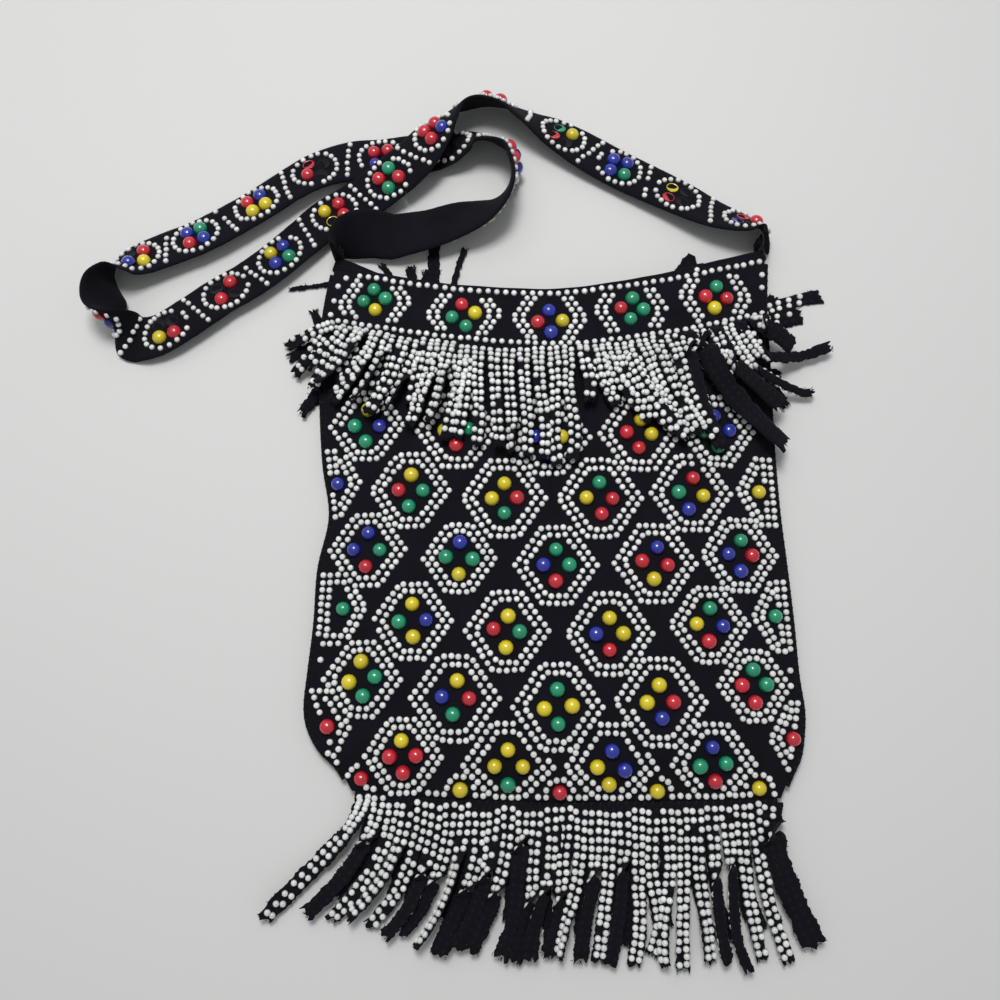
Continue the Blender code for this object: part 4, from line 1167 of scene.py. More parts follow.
def edge_ring(u, t):
    """A closed trapezium, open side along the pouch's edge, in two rows round one large bead."""
    b = beads()
    side = -1 if u < 0 else 1
    x, y = (float(v) for v in place(u, t))
    rows = []
    for step in (0, 1):
        inset = step * b.ring_step
        high = b.ring_height * 0.90 - inset
        ys = np.array([y + high, y - high])
        edge = edges(shares_at(np.full(2, x), ys)[1])[0 if side < 0 else 1] - side * (1.9 * MM + inset)
        flat, tip = x - side * (1.5 * MM - 0.4 * inset), x - side * (11.5 * MM - 1.1 * inset)
        corners = ((edge[0], ys[0]), (flat, ys[0]), (tip, y), (flat, ys[1]), (edge[1], ys[1]))
        rows.append(walk(corners, b.white_spacing))
    return np.concatenate(rows)


def border_row(height, spacing, start=-ROW_END, t=1):
    """A row of small beads along a line across the pouch, whose height is given for each u."""
    us = np.linspace(start, ROW_END, 200)
    return walk(np.stack([place(us, t)[0], height(us)], -1), spacing, closed=False)


def base_border(u):
    """Height of the bead row along the base."""
    return base_line(u) + BASE_ROW_RISE


def mouth_border(u):
    """Height of the bead row near the mouth, set in from the hem's edge."""
    inset = beads().border_inset * np.interp(u, BORDER_INSET_PLACES, BORDER_INSET_SHARES)
    return mouth_line(u) + hem_reach(np.maximum(u, BORDER_LEAST_U)) - inset


def foot_border(u):
    """Height of the bead row above the cuff's foot."""
    return place(u, CUFF_BASE_SHARE)[1] + FOOT_ROW_RISE


def back_border(u):
    """Height of the bead row near the back's mouth."""
    return mouth_border(u) - BACK_ROW_DROP


def base_row():
    """The row of small beads along the base."""
    return border_row(base_border, beads().white_spacing, t=0)


def fours(medallions, across, along, chance):
    """Large beads of each medallion, a little off by chance and turned by a few degrees."""
    found = []
    for u, t, letters in medallions:
        turn = chance.normal(0, 0.09)
        spin = np.array([[math.cos(turn), -math.sin(turn)], [math.sin(turn), math.cos(turn)]])
        spots = np.array(place(u, t)) + four_offsets(across, along) @ spin.T
        found += list(zip(letters, spots + chance.normal(0, 0.28 * MM, (4, 2))))
    return found


def clear_whites(rows, large, chance, gap_share, widest):
    """Small beads of all the rows, moved a little by chance, and none over the pouch's edge or in
    another bead."""
    b = beads()
    spots = np.concatenate(rows)
    spots = spaced(spots + chance.normal(0, BEAD_SCATTER, spots.shape), gap_share * b.white_radius)
    u, t = shares_at(*spots.T)
    spots = spots[(np.abs(u) < widest) & (t > 0.002)]
    away = np.linalg.norm(spots[:, None] - large[None], axis=-1).min(1)
    return spots[away > LARGE_CLEAR_SHARE * b.large_radius + b.white_radius]


def front_large_beads():
    """Letter and plan position of every large bead on the front."""
    b = beads()
    chance = np.random.default_rng(4)
    found = fours([item[:3] for item in PANEL_MEDALLIONS], b.four_across, b.four_along, chance)
    found += fours(CUFF_MEDALLIONS, b.cuff_four, b.cuff_four, chance)
    found += [(letter, np.array(place(u, t))) for u, t, letter in EDGE_MEDALLIONS + BASE_SINGLES]
    return found


def front_white_beads(large):
    """Plan positions of the small beads of the panel and cuff."""
    rows = [panel_ring(*(float(v) for v in place(u, t)), size) for u, t, _, size in PANEL_MEDALLIONS]
    rows += [edge_ring(u, t) for u, t, _ in EDGE_MEDALLIONS]
    rows.append(border_row(mouth_border, BORDER_SPACING, BORDER_START_U))
    rows.append(border_row(foot_border, FOOT_SPACING))
    rows += [cuff_ring(u, t) for u, t, _ in CUFF_MEDALLIONS]
    rows.append(base_row())
    rows.append(np.stack(place(*np.array(STRAY_BEADS).T), -1))
    angles = np.radians(np.arange(10, 171, 32))
    arch = ARCH_RADIUS * np.stack([np.cos(angles), np.sin(angles)], -1)
    rows += [np.array(place(u, t)) + arch for u, t, _ in BASE_SINGLES]
    big = np.array([spot for _, spot in large])
    return clear_whites(rows, big, np.random.default_rng(5), 1.8, 0.992)


def add_whites(name, spots, outs, seed, share=1.0):
    """Small white domes, at a share of their usual size."""
    size = beads().white_radius * share, beads().white_height * share
    return add_domes(name, spots, outs, size, WHITE_PROFILE_SHARES, WHITE_SIDES, white_plastic(), seed)


def add_large(name, spots, outs, letter, seed):
    """Large clear domes of one colour."""
    size, material = (beads().large_radius, beads().large_height), large_plastic(letter)
    return add_domes(name, spots, outs, size, COLOUR_PROFILE_SHARES, COLOUR_SIDES, material, seed, 0.03)


def make_front_beads():
    """Beads of the front, in a left and a right half, like the wall."""
    large = front_large_beads()
    white = front_white_beads(large)
    for side, label in ((-1, "left"), (1, "right")):
        mine = white[np.sign(white[:, 0] + 1e-9) == side]
        piece = add_whites(f"front_{label}_white_beads", *stand_on(front_height, *mine.T), 11)
        settle(piece, "white_beads", (), *wall_motion(side))
        here = [(letter, spot) for letter, spot in large if np.sign(spot[0] + 1e-9) == side]
        for letter, name in COLOUR_NAMES.items():
            mine = np.array([spot for found, spot in here if found == letter])
            piece = add_large(f"front_{label}_{name}_beads", *stand_on(front_height, *mine.T), letter, 12)
            settle(piece, name + "_beads", (), *wall_motion(side))


def make_back_beads():
    """Regular medallions on the back, hanging down from it, and none under the back fringe."""
    b = beads()
    chance = np.random.default_rng(6)
    rows, large = [], []
    for row in range(-4, 2):
        for column in (-2, -1, 0, 1, 2) if row % 2 == 0 else (-1.5, -0.5, 0.5, 1.5):
            x, y = column * BACK_PITCH_ACROSS, row * BACK_PITCH_ALONG - b.four_along
            rows.append(panel_ring(x, y, chance.uniform(0.97, 1.03)))
            large.append(four_offsets(b.four_across, b.four_along) + [x, y])
    rows.append(base_row())
    rows.append(border_row(back_border, BORDER_SPACING))
    large = np.concatenate(large)
    large = large[large[:, 1] > -pouch().base_depth + b.large_radius * 1.2]
    white = clear_whites(rows, large, chance, 1.75, 0.985)
    piece = add_whites("back_white_beads", *stand_on(back_underside, *white.T, -1), 13)
    settle(piece, "white_beads", (), "pouch")
    letters = np.array(list("RYGB"))[chance.integers(0, 4, len(large))]
    for letter, name in COLOUR_NAMES.items():
        mine = large[letters == letter]
        piece = add_large(f"back_{name}_beads", *stand_on(back_underside, *mine.T, -1), letter, 14)
        settle(piece, name + "_beads", (), "pouch")


# Fringes


def strip_frames(centres, rolls):
    """Across and face directions: the face is up turned about the travel by the roll."""
    travel = unit(np.gradient(centres, axis=1))
    level = unit(np.cross(travel, UP))
    roll = rolls[..., None]
    face = np.cross(level, travel) * np.cos(roll) + level * np.sin(roll)
    return np.cross(travel, face), face


def strip_centres(roots, tips, drop, level, rolls, layer, sway):
    """Middle lines of strips: a quadratic curve that leaves each root straight down by the drop
    share, swayed by a sine, and raised by what the turned strip needs to stay above its support."""
    f, b, p = fringes(), beads(), pouch()
    rows = rolls.shape[1]
    s = np.linspace(0, 1, rows)[None, :, None]
    reach = np.linalg.norm(tips - roots, axis=1)
    control = roots + np.stack([0 * reach, -drop * reach], -1)
    plan = (1 - s) ** 2 * roots[:, None] + 2 * s * (1 - s) * control[:, None] + s**2 * tips[:, None]
    travel = unit(np.gradient(plan, axis=1))
    side = np.stack([travel[..., 1], -travel[..., 0]], -1)
    plan = plan + side * (sway[:, None] * np.sin(2 * math.pi * s[..., 0]) * s[..., 0])[..., None]
    turned = np.abs(np.sin(rolls)) * f.strip_width / 2 + np.clip(-np.cos(rolls), 0, 1) * b.white_height
    z = level(plan[..., 0], plan[..., 1], s[..., 0]) + turned + p.cloth / 2
    z = z + layer[:, None] * smoothstep(s[..., 0] / 0.3)
    return np.concatenate([plan, z[..., None]], -1)


def bead_rows(centres, across, face, chance, most=99, bare=0.0):
    """Spots of two bead columns along each strip, each strip with a row pitch and a start of its own."""
    f = fringes()
    count, rows = centres.shape[:2]
    lengths = np.linalg.norm(np.diff(centres, axis=1), axis=-1).sum(1)[:, None]
    number = np.arange(int(lengths.max() / f.row_pitch) + 1)[None]
    pitch = f.row_pitch * chance.uniform(0.92, 1.06, (count, 1))
    last = lengths - chance.uniform(1.9, 3.2, (count, 1)) * MM
    along = last % pitch + number * pitch
    fits = (along < last + 0.1 * MM) & (number < most) & (along > max(bare, 1.0 * MM))
    spots, outs = [], []
    pick = np.arange(count)[:, None]
    for side in (-1, 1):
        own = along + side * chance.normal(0, 0.45 * MM, (count, 1))
        own = own + chance.normal(0, 0.2 * MM, along.shape)
        where = np.clip(own / lengths, 0, 1) * (rows - 1)
        low = np.minimum(where.astype(int), rows - 2)
        part = (where - low)[..., None]
        at = [a[pick, low] * (1 - part) + a[pick, low + 1] * part for a in (centres, across, face)]
        turned = (1 - at[2][..., 2]) / 2
        closer = 1 - 0.16 * smoothstep(own / (0.35 * lengths))
        offset = side * f.column_half * closer * (1 - 0.3 * turned) + chance.normal(0, 0.2 * MM, fits.shape)
        spot = at[0] + at[1] * offset[..., None] + at[2] * pouch().cloth * 0.46
        keep = fits & (chance.random(fits.shape) > STRIP_GAPS_SHARE)
        spots.append(spot[keep])
        outs.append(at[2][keep])
    return np.concatenate(spots), unit(np.concatenate(outs))


def fray_paths(centres, across, half, chance):
    """Short curling threads, as many from the strips' edges as from their tips."""
    count, rows = centres.shape[:2]
    total = 2 * FRAY_COUNT
    row = chance.integers(rows // 4, rows, (count, total))
    row[:, FRAY_COUNT:] = rows - 1
    pick = np.arange(count)[:, None]
    travel = unit(np.gradient(centres, axis=1))[pick, row]
    side = np.where(chance.random((count, total)) < 0.5, -1, 1)[..., None]
    out = across[pick, row] * side
    spread = np.full((count, total, 1), 0.98)
    spread[:, FRAY_COUNT:] = chance.uniform(0, 0.95, (count, FRAY_COUNT, 1))
    start = centres[pick, row] + out * spread * half[pick, row][..., None]
    tipped = np.zeros((count, total, 1))
    tipped[:, FRAY_COUNT:] = 1
    heading = unit(out * (1 - 0.8 * tipped) + travel * (0.3 + tipped) + chance.normal(0, 0.35, out.shape))
    reach = chance.uniform(0.5, 1.1, (count, total, 1)) * MM * (1 + 0.7 * tipped)
    bend = unit(chance.normal(0, 1, out.shape)) * [1, 1, 0.3] * reach * 0.5
    s = np.linspace(0, 1, 4)[:, None]
    paths = start[..., None, :] + (heading * reach)[..., None, :] * s + bend[..., None, :] * s**2
    paths = paths.reshape(-1, 4, 3)
    paths[..., 2] = np.maximum(paths[..., 2], fringes().thread)
    return paths


def add_fringe(name, roots, tips, rolls, drop, level, layer, seed, most=99, widths=1.0, bare=0.0):
    """Strips, their small beads and their frayed threads, as three pieces. Turned strips are
    narrower, and their edges curl."""
    f, p = fringes(), pouch()
    chance = np.random.default_rng(seed)
    sway = chance.normal(0, 1.5, len(roots)) * MM
    centres = strip_centres(roots, tips, drop, level, rolls, layer, sway)
    across, face = strip_frames(centres, rolls)
    turned = (1 - np.cos(rolls)) / 2
    narrower = (1 - 0.1 * turned) * (1 - 0.1 * smoothstep(np.linspace(0, 2, rolls.shape[1])))
    half = f.strip_width / 2 * np.reshape(widths, (-1, 1)) * narrower
    half = half * (1 + 0.05 * chance.normal(0, 1, (len(roots), 1)) + uneven(rolls.shape, chance))
    curl = f.curl * turned * np.abs(np.cos(rolls))
    cloth = add_ribbons(name, centres, across, face, half, p.cloth, 7, strip_cloth(), f.fray, seed, curl)
    spots, outs = bead_rows(centres, across, face, chance, most, bare)
    white = add_whites(name + "_beads", spots, outs, seed)
    threads = fray_paths(centres, across, half, chance)
    hairs = add_tubes(name + "_threads", threads, f.thread, 3, black_cloth())
    return cloth, white, hairs


def even_shares(count, end):
    """Places u of a number of roots, evenly from one end of a row to the other."""
    return -end + (np.arange(count) + 0.5) * 2 * end / count


def leaning(roots, lean, reach):
    """Tips of strips that hang down and lean to the right by an angle."""
    return roots + np.stack([np.sin(lean) * reach, -np.cos(lean) * reach], -1)


def steady_rolls(turn, spread, count, rows, chance):
    """The same roll all along each strip, a little off by chance."""
    return turn + chance.normal(0, spread, (count, 1)) * np.ones((1, rows))


def uneven(shape, chance):
    """Slow changes of a strip's width: two sines along it, each with a phase of its own."""
    s = np.linspace(0, 2 * math.pi, shape[1])[None]
    first, second = chance.uniform(0, 2 * math.pi, (2, shape[0], 1))
    return 0.05 * np.sin(3 * s + first) + 0.05 * np.sin(7 * s + second)


def turn_rolls(table, rows, chance):
    """Roll along each strip: a lazy sine, and a smooth turn that starts at its share of the length."""
    s = np.linspace(0, 1, rows)[None]
    start, end = table[:, 2:3], np.radians(table[:, 3:4])
    phase = chance.uniform(0, 2 * math.pi, (len(table), 1))
    lazy = chance.normal(0, 0.30, (len(table), 1)) * np.sin(phase + 5 * s) * smoothstep(s / 0.3)
    return end * smoothstep((s - start) / 0.16) + lazy


def upper_level(x, y, s):
    """Over the cloth at the root, over the beads below it, and down to the table past the pouch's edge."""
    p, b = pouch(), beads()
    u, t = shares_at(x, y)
    left, right = edges(t)
    outside = np.maximum(np.maximum(x - right, left - x), 0)
    over = front_outside(u, t) + p.clearance + (b.white_height + 1.5 * MM) * smoothstep(s / 0.25)
    return np.maximum(over - 0.55 * np.maximum(outside - 3 * MM, 0), b.white_height)


def upper_roots(count):
    """Places u and plan positions of strips sewn under the cuff's foot."""
    us = even_shares(count, 0.985)
    x, y = place(us, CUFF_BASE_SHARE)
    return us, np.stack([x, y - pouch().clearance], -1)


def make_upper_fringe():
    """The fringe below the cuff, in two layers of left, middle and right stretches."""
    table = np.array(UPPER_STRIP_SHARES)
    us, roots = upper_roots(len(table))
    chance = np.random.default_rng(21)
    rolls = turn_rolls(table, 60, chance)
    widths = strip_values(UPPER_STRIP_WIDTHS, len(us), 1)
    layer = 1.1 * MM + (np.arange(len(us)) % 3) * MM
    drops = strip_values(UPPER_STRIP_DROPS, len(us), 0)
    add_upper_layer("upper_strips", us, roots, table[:, :2], rolls, layer, 31, widths, drops)
    table = np.array(UNDER_STRIP_SHARES)
    us = table[:, 0]
    roots = np.stack(place(us, CUFF_BASE_SHARE), -1)
    rolls = turn_rolls(np.repeat([[1.0, 0.0, 1.0, 0.0]], len(us), 0), 50, chance)
    layer = (np.arange(len(us)) % 2) * 0.5 * MM
    widths = np.ones(len(us))
    add_upper_layer(
        "upper_under_strips", us, roots, table[:, 1:], rolls, layer, 34, widths, bare=UNDER_BARE_LENGTH
    )


def strip_values(special, count, usual):
    """One value for each strip: the usual one, or its own where the strip has one."""
    values = np.full(count, float(usual))
    values[list(special)] = list(special.values())
    return values


def add_upper_layer(name, us, roots, shares, rolls, layer, seed, widths, drops=0.0, bare=0.0):
    """One layer of strips, in its left, middle and right stretches."""
    tips = roots + shares * fringes().upper_length
    drop = np.maximum(np.clip(-shares[:, 1], 0.05, 0.9) * 0.45, drops)
    root_y = float(place(0, CUFF_BASE_SHARE)[1]) - pouch().clearance
    high = float(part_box("upper_fringe_middle")[1].z)
    lifting = "front_wall", "upper_fringe", (0, root_y, high), (0, root_y - UPPER_BEND_REACH, high)
    for label, mine, motion in (
        ("left", us < -0.6, wall_motion(-1)),
        ("middle", np.abs(us) <= 0.6, lifting),
        ("right", us > 0.6, wall_motion(1)),
    ):
        made = add_fringe(
            f"{name}_{label}", roots[mine], tips[mine], rolls[mine], drop[mine], upper_level, layer[mine],
            seed, widths=widths[mine], bare=bare,
        )
        settle_fringe(made, f"upper_fringe_{label}", *motion)


def back_strip_level(x, y, s):
    """Flat on the table."""
    return np.full(np.shape(x), 0.3 * MM)


def make_back_fringe():
    """The upper fringe of the back, its beads towards the table, and its strips that show round the
    pouch."""
    f = fringes()
    chance = np.random.default_rng(41)
    us, roots = upper_roots(BACK_STRIP_COUNT)
    lean = 0.35 * np.sign(us) * np.abs(us) ** 4 + chance.normal(0, 0.06, len(us))
    tips = leaning(roots, lean, f.back_length * chance.uniform(0.82, 1.0, len(us)))
    rolls = steady_rolls(math.pi, 0.1, len(us), 40, chance)
    drops = 0.4 * np.ones(len(us))
    made = add_fringe("back_strips", roots, tips, rolls, drops, back_strip_level, 0 * us, 42)
    settle_fringe(made, "back_upper_fringe", "pouch")
    u, t, across, above, widths, bead_count = np.array(LOOSE_STRIP_SHARES).T
    roots = np.stack(place(u, t), -1)
    tips = roots + np.stack([across, above], -1) * f.upper_length
    rolls = steady_rolls(0, 0.15, len(u), 40, chance)
    layer = 0.2 * MM * (np.arange(len(u)) % 2)
    made = add_fringe(
        "loose_strips", roots, tips, rolls, 0 * u, loose_level, layer, 43,
        bead_count[:, None], widths,
    )
    settle_fringe(made, "turned_back_strip", "pouch")


def loose_level(x, y, s):
    """Under the back wall at the root, and down on the table beyond it."""
    return 1.9 * MM * (1 - smoothstep(s / 0.6)) + 0.2 * MM


def base_front_level(x, y, s):
    """From the top of the base seam down to the back layer's height."""
    return (back_top() + pouch().clearance) * (1 - s) + 2.6 * MM * s


def base_back_level(x, y, s):
    """From a little above the table down to it."""
    return 1.4 * MM * (1 - s) + 0.1 * MM


def make_base_fringe():
    """The two layers below the base seam."""
    f, p = fringes(), pouch()
    table = np.array(BASE_STRIP_SHARES)
    count = len(table)
    drop = p.clearance + p.base_seam
    x, y = place(even_shares(count, 0.975), 0)
    roots = np.stack([x, y - drop], -1)
    tips = np.stack([table[:, 0] * p.half_width, -p.base_depth - drop - table[:, 1] * f.base_length], -1)
    chance = np.random.default_rng(51)
    rolls = turn_rolls(table, 76, chance)
    layer = (np.arange(count) % 2) * 0.9 * MM + chance.uniform(0, 0.8, count) * MM
    widths = strip_values(BASE_STRIP_WIDTHS, count, 1)
    drops = np.interp(np.arange(count), *BASE_DROPS)
    front = add_fringe(
        "base_strips_front", roots, tips, rolls, drops, base_front_level, layer, 52,
        widths=widths,
    )
    us = even_shares(BASE_BACK_COUNT, 0.96) + chance.normal(0, 0.012, BASE_BACK_COUNT)
    x, y = place(us, 0)
    roots = np.stack([x, y - drop], -1)
    lean = np.where(us < 0, -0.63, 0.30) * np.abs(us) ** 1.5 + chance.normal(0, 0.08, len(us))
    tips = leaning(roots, lean, f.base_length * chance.uniform(0.68, 0.94, len(us)))
    rolls = steady_rolls(math.pi, 0.15, len(us), 60, chance)
    drops = 0.45 * np.ones(len(us))
    back = add_fringe(
        "base_strips_back", roots, tips, rolls, drops, base_back_level, 0 * us, 53
    )
    root = -p.base_depth - 2 * p.base_seam
    for made, cad_node in ((front, "bottom_fringe_front"), (back, "bottom_fringe_back")):
        settle_fringe(made, cad_node, "pouch", "bottom_fringe", (0, root, 0), (0, root - BASE_BEND_REACH, 0))


# Strap


def strap_curve():
    """Distance, centres, travel and face along the strap. A centre stands so high that the band's
    lower edge, or its beads where they face down, touch the table. The face turns from straight up
    towards the left-hand side by the roll."""
    p, b, q = pouch(), beads(), strap()
    table = np.array(STRAP_ROUTE_SHARES, float)
    rows = len(table) - 1
    across, beyond, roll, lift = smooth_curve(table, np.linspace(0, rows, STRAP_SAMPLES * rows + 1)).T
    roll = np.radians(roll)
    middle = p.mouth_height + p.hem_height + 2 * p.clearance + (p.mouth_rise_left + p.mouth_rise_right) / 2
    slant = (p.mouth_rise_right - p.mouth_rise_left) / 2
    full_lift = q.thickness + b.large_height + 2 * p.clearance + STRAP_TILT_SHARE * q.width
    z = STRAP_REST_GAP + np.abs(np.sin(roll)) * q.width / 2 + np.abs(np.cos(roll)) * q.thickness / 2
    z = z + np.clip(-np.cos(roll), 0, 1) * b.large_height + np.clip(lift, 0, 1) * full_lift
    centres = np.stack([across * p.half_width, middle + across * slant + beyond * q.reach, z], 1)
    travel = np.gradient(centres, axis=0)
    travel[:, 2] = 0
    travel = unit(travel)
    left = np.stack([-travel[:, 1], travel[:, 0], 0 * z], 1)
    face = np.cos(roll)[:, None] * UP + np.sin(roll)[:, None] * left
    return distances(centres), centres, travel, face


def strap_at(curve, s):
    """Centre, travel, across and face of the strap at distances along it."""
    distance, *columns = curve
    centre, travel, face = (at_distances(s, distance, column) for column in columns)
    face, travel = unit(face), unit(travel)
    return centre, travel, np.cross(travel, face), face


def strap_spans(curve):
    """Start and end of the right run, the loop and the left run."""
    first, second = (curve[0][STRAP_SAMPLES * row] for row in STRAP_SPAN_ROWS)
    half = strap().cut / 2
    return (0, first - half), (first + half, second - half), (second + half, curve[0][-1])


def on_strap(curve, s, across):
    """Spots and outward directions on the strap's face, at distances along and across."""
    centre, _, side, face = strap_at(curve, s)
    return centre + side * across[:, None] + face * strap().thickness * 0.47, face


def strap_places(curve, looped, loop_span):
    """Distances along and across of the large beads on the loop, or off it, listed by letter."""
    total, four = curve[0][-1], strap().four
    places = {}
    for share, letters, turn in STRAP_MEDALLIONS:
        travel = strap_at(curve, np.array([share * total]))[1][0]
        for letter, quarter in zip(letters, (90, 180, 0, 270)):
            angle = math.radians(turn + quarter)
            right, up = four * math.cos(angle), four * math.sin(angle)
            s = share * total + right * travel[0] + up * travel[1]
            if (loop_span[0] < s < loop_span[1]) == looped:
                places.setdefault(letter, []).append((s, right * travel[1] - up * travel[0]))
    return places


def strap_white_places(total):
    """Distances along and across of the small beads: an oval round each medallion and a slanted row
    across between two."""
    q = strap()
    chance = np.random.default_rng(61)
    along, across = [], []
    middles = np.array([share for share, _, _ in STRAP_MEDALLIONS]) * total
    for s in middles:
        angles = 2 * math.pi * (np.arange(STRAP_OVAL_COUNT) + chance.uniform(0, 1)) / STRAP_OVAL_COUNT
        along.append(s + q.ring_along * np.cos(angles))
        across.append(q.ring_across * np.sin(angles))
    steps = np.linspace(-1, 1, 6)
    for s in (middles[1:] + middles[:-1]) / 2:
        along.append(s + steps * 2.4 * MM * chance.choice([-1, 1]))
        across.append(steps * 0.40 * q.width)
    along, across = np.concatenate(along), np.concatenate(across)
    keep = chance.random(len(along)) > STRAP_GAPS_SHARE
    along = along + chance.normal(0, 0.2 * MM, len(along))
    across = across + chance.normal(0, 0.2 * MM, len(across))
    keep = keep & (along > STRAP_BARE_END) & (along < total - STRAP_BARE_END)
    return along[keep], across[keep]


def make_strap():
    """The band in its three stretches, and its beads."""
    curve = strap_curve()
    spans = strap_spans(curve)
    for label, span, seed in zip(("right", "loop", "left"), spans, (71, 72, 73)):
        band = add_strap_band(f"strap_band_{label}", curve, span, seed)
        settle(band, "black_cloth", [f"strap_{label}_run"], *strap_motion(label == "loop"))
    along, across = strap_white_places(curve[0][-1])
    for label, looped in (("runs", False), ("loop", True)):
        mine = ((along > spans[1][0]) & (along < spans[1][1])) == looped
        spots, outs = on_strap(curve, along[mine], across[mine])
        piece = add_whites(f"strap_{label}_white_beads", spots, outs, 74, 0.94)
        settle(piece, "white_beads", (), *strap_motion(looped))
        make_strap_large(curve, label, looped, spans[1])


def make_strap_large(curve, label, looped, loop_span):
    """Large beads of the strap's medallions, and the thin rims that broken ones leave."""
    places = strap_places(curve, looped, loop_span)
    motion = strap_motion(looped)
    for letter, name in COLOUR_NAMES.items():
        if letter in places:
            spots, outs = on_strap(curve, *np.array(places[letter]).T)
            piece = add_large(f"strap_{label}_{name}_beads", spots, outs, letter, 75)
            settle(piece, name + "_beads", (), *motion)
        if letter.lower() in places:
            spots = places[letter.lower()]
            piece = add_rims(curve, f"strap_{label}_{name}_rims", spots, large_plastic(letter))
            settle(piece, name + "_beads", (), *motion)
    marks = add_rims(curve, f"strap_{label}_marks", places["-"], sewing_thread())
    settle(marks, "thread", (), *motion)


def add_rims(curve, name, places, material):
    """Thin rings that broken beads leave on the strap."""
    size = beads().large_radius * RIM_SIZE_SHARE, beads().large_height
    spots, outs = on_strap(curve, *np.array(places).T)
    return add_domes(name, spots, outs, size, RIM_PROFILE_SHARES, COLOUR_SIDES, material, 76)


def add_strap_band(name, curve, span, seed):
    """A stretch of the band, its half width changed by a running mean of random steps."""
    rows = int((span[1] - span[0]) / STRAP_ROW_STEP)
    centre, _, across, face = strap_at(curve, np.linspace(*span, rows))
    chance = np.random.default_rng(seed)
    wave = np.convolve(chance.normal(0, 1, rows + 12), np.ones(13) / 13, "valid") * 0.5 * MM
    half = strap().width / 2 + wave
    return add_ribbons(
        name, centre[None], across[None], face[None], half[None], strap().thickness, 15, black_cloth(),
        0.12 * MM, seed,
    )


def make_tabs():
    """The cloth tabs inside the mouth corners, with a close zigzag of thread over each end."""
    for label, side in (("left", 1.0), ("right", -1.0)):
        _, middle, size = cad_box(f"{label}_strap_tab")
        s = np.linspace(-0.5, 0.5, 14)
        centres = middle + np.stack([0 * s, 0 * s, s * size[2]], -1)
        across = np.broadcast_to([0, side, 0], centres.shape)
        face = np.broadcast_to([side, 0, 0], centres.shape)
        half = np.full((1, 14), size[1] / 2)
        frames = centres[None], across[None], face[None]
        tab = add_ribbons(f"{label}_tab", *frames, half, size[0], 7, black_cloth())
        settle(tab, "black_cloth", [f"{label}_strap_tab"], "pouch")
        for number in (1, 2):
            cad_node = f"{label}_bar_tack_{number}"
            low, middle, size = cad_box(cad_node)
            turns = np.linspace(0, 1, 90)
            angle = 24 * math.pi * turns
            path = np.stack([
                middle[0] + 0 * turns + 0.08 * MM * np.cos(angle),
                middle[1] + size[1] * 0.7 * np.sin(angle),
                low[2] + size[2] * turns,
            ], -1)
            tack = add_tubes(f"{label}_tack_{number}", path[None], 0.15 * MM, 5, sewing_thread())
            settle(tack, "thread", [cad_node], "pouch")


# Stage


def make_stage():
    """Table top, soft light from above and to the left, a small light for the highlights, and camera."""
    colours, studio = bpy.context.scene.bag_colours, bpy.context.scene.bag_studio
    made, tree, shader = new_material("table_top")
    where = tree.nodes.new("ShaderNodeTexCoord")
    cloud = node(tree, "ShaderNodeTexNoise", scale=2.2, detail=2.0)
    tree.links.new(where.outputs["Object"], cloud.inputs["Vector"])
    floor = tuple(colours.floor)
    mix_by(tree, cloud.outputs["Fac"], tuple(0.94 * c for c in floor), floor, shader.inputs["Base Color"])
    shader.inputs["Roughness"].default_value = 0.7
    points = np.array([(-1, -1, 0), (1, -1, 0), (1, 1, 0), (-1, 1, 0)], float) * TABLE_REACH
    add_piece("table", points, [np.array([[0, 1, 2, 3]])], made, smooth=False)
    add_light("key_light", *KEY_LIGHT, studio.key)
    add_light("glint_light", *GLINT_LIGHT, studio.glint)
    world = bpy.data.worlds.new("room")
    bpy.context.scene.world = world
    world.use_nodes = True
    background = world.node_tree.nodes["Background"]
    background.inputs["Color"].default_value = SKY_COLOUR
    background.inputs["Strength"].default_value = studio.sky
    data = bpy.data.cameras.new("camera")
    data.sensor_width = CAMERA_SENSOR
    data.lens = CAMERA_LENS
    camera = bpy.data.objects.new("camera", data)
    camera.location = CAMERA_PLACE
    camera.rotation_euler = (math.radians(CAMERA_TILT), 0, 0)
    bpy.context.scene.collection.objects.link(camera)
    bpy.context.scene.camera = camera
    bpy.context.scene.view_settings.view_transform = "Standard"


def add_light(name, location, target, size, power):
    """A square area light that faces its target."""
    data = bpy.data.lights.new(name, "AREA")
    data.size = size
    data.energy = power
    lamp = bpy.data.objects.new(name, data)
    lamp.location = location
    heading = Vector(target) - Vector(location)
    lamp.rotation_euler = heading.to_track_quat("-Z", "Y").to_euler()
    bpy.context.scene.collection.objects.link(lamp)


class BAG_OT_walls(Operator):
    """Make the cloth walls, cuffs and linings"""

    bl_idname = "bag.walls"
    bl_label = "Walls"

    def execute(self, context):
        make_walls()
        return {"FINISHED"}


class BAG_OT_hems(Operator):
    """Make the hems round the mouth and the seams round the pouch"""

    bl_idname = "bag.hems"
    bl_label = "Hems and seams"

    def execute(self, context):
        make_hems()
        make_seams()
        return {"FINISHED"}


class BAG_OT_front_beads(Operator):
    """Set the beads of the front"""

    bl_idname = "bag.front_beads"
    bl_label = "Front beads"

    def execute(self, context):
        make_front_beads()
        return {"FINISHED"}


class BAG_OT_back_beads(Operator):
    """Set the beads of the back"""

    bl_idname = "bag.back_beads"
    bl_label = "Back beads"

    def execute(self, context):
        make_back_beads()
        return {"FINISHED"}


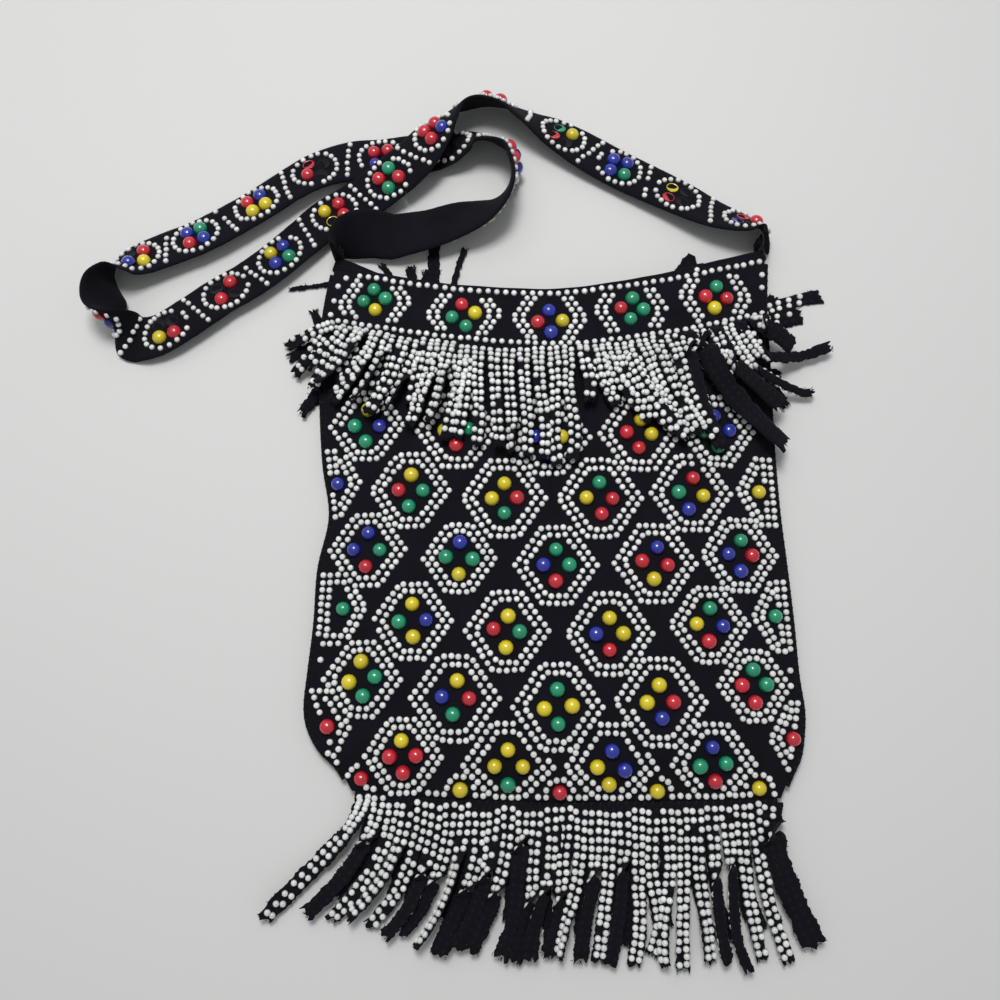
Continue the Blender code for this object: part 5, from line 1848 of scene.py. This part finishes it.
class BAG_OT_upper_fringe(Operator):
    """Make the fringe below the cuff, front and back"""

    bl_idname = "bag.upper_fringe"
    bl_label = "Upper fringe"

    def execute(self, context):
        make_upper_fringe()
        make_back_fringe()
        return {"FINISHED"}


class BAG_OT_base_fringe(Operator):
    """Make the two layers of fringe below the base"""

    bl_idname = "bag.base_fringe"
    bl_label = "Base fringe"

    def execute(self, context):
        make_base_fringe()
        return {"FINISHED"}


class BAG_OT_strap(Operator):
    """Make the strap with its beads"""

    bl_idname = "bag.strap"
    bl_label = "Strap"

    def execute(self, context):
        make_strap()
        make_tabs()
        return {"FINISHED"}


class BAG_OT_stage(Operator):
    """Set the table, the lights and the camera"""

    bl_idname = "bag.stage"
    bl_label = "Stage"

    def execute(self, context):
        make_stage()
        return {"FINISHED"}


OPERATORS = (
    BAG_OT_walls, BAG_OT_hems, BAG_OT_front_beads, BAG_OT_back_beads, BAG_OT_upper_fringe,
    BAG_OT_base_fringe, BAG_OT_strap, BAG_OT_stage,
)


class BAG_PT_pieces(Panel):
    """Sizes, colours and one button for each group of pieces"""

    bl_idname = "BAG_PT_pieces"
    bl_label = "Beaded shoulder bag"
    bl_space_type = "VIEW_3D"
    bl_region_type = "UI"
    bl_category = "Bag"

    def draw(self, context):
        for name, group in GROUPS:
            box = self.layout.box()
            for key in group.__annotations__:
                box.prop(getattr(context.scene, name), key)
        for operator in OPERATORS:
            self.layout.operator(operator.bl_idname)


def register():
    for name, group in GROUPS:
        bpy.utils.register_class(group)
        setattr(bpy.types.Scene, name, PointerProperty(type=group))
    for item in (*OPERATORS, BAG_PT_pieces):
        bpy.utils.register_class(item)


def unregister():
    for item in (BAG_PT_pieces, *reversed(OPERATORS)):
        bpy.utils.unregister_class(item)
    for name, group in reversed(GROUPS):
        delattr(bpy.types.Scene, name)
        bpy.utils.unregister_class(group)


def main():
    register()
    bpy.ops.bag.stage()
    bpy.ops.bag.walls()
    bpy.ops.bag.hems()
    bpy.ops.bag.front_beads()
    bpy.ops.bag.back_beads()
    bpy.ops.bag.upper_fringe()
    bpy.ops.bag.base_fringe()
    bpy.ops.bag.strap()


if __name__ == "__main__":
    main()
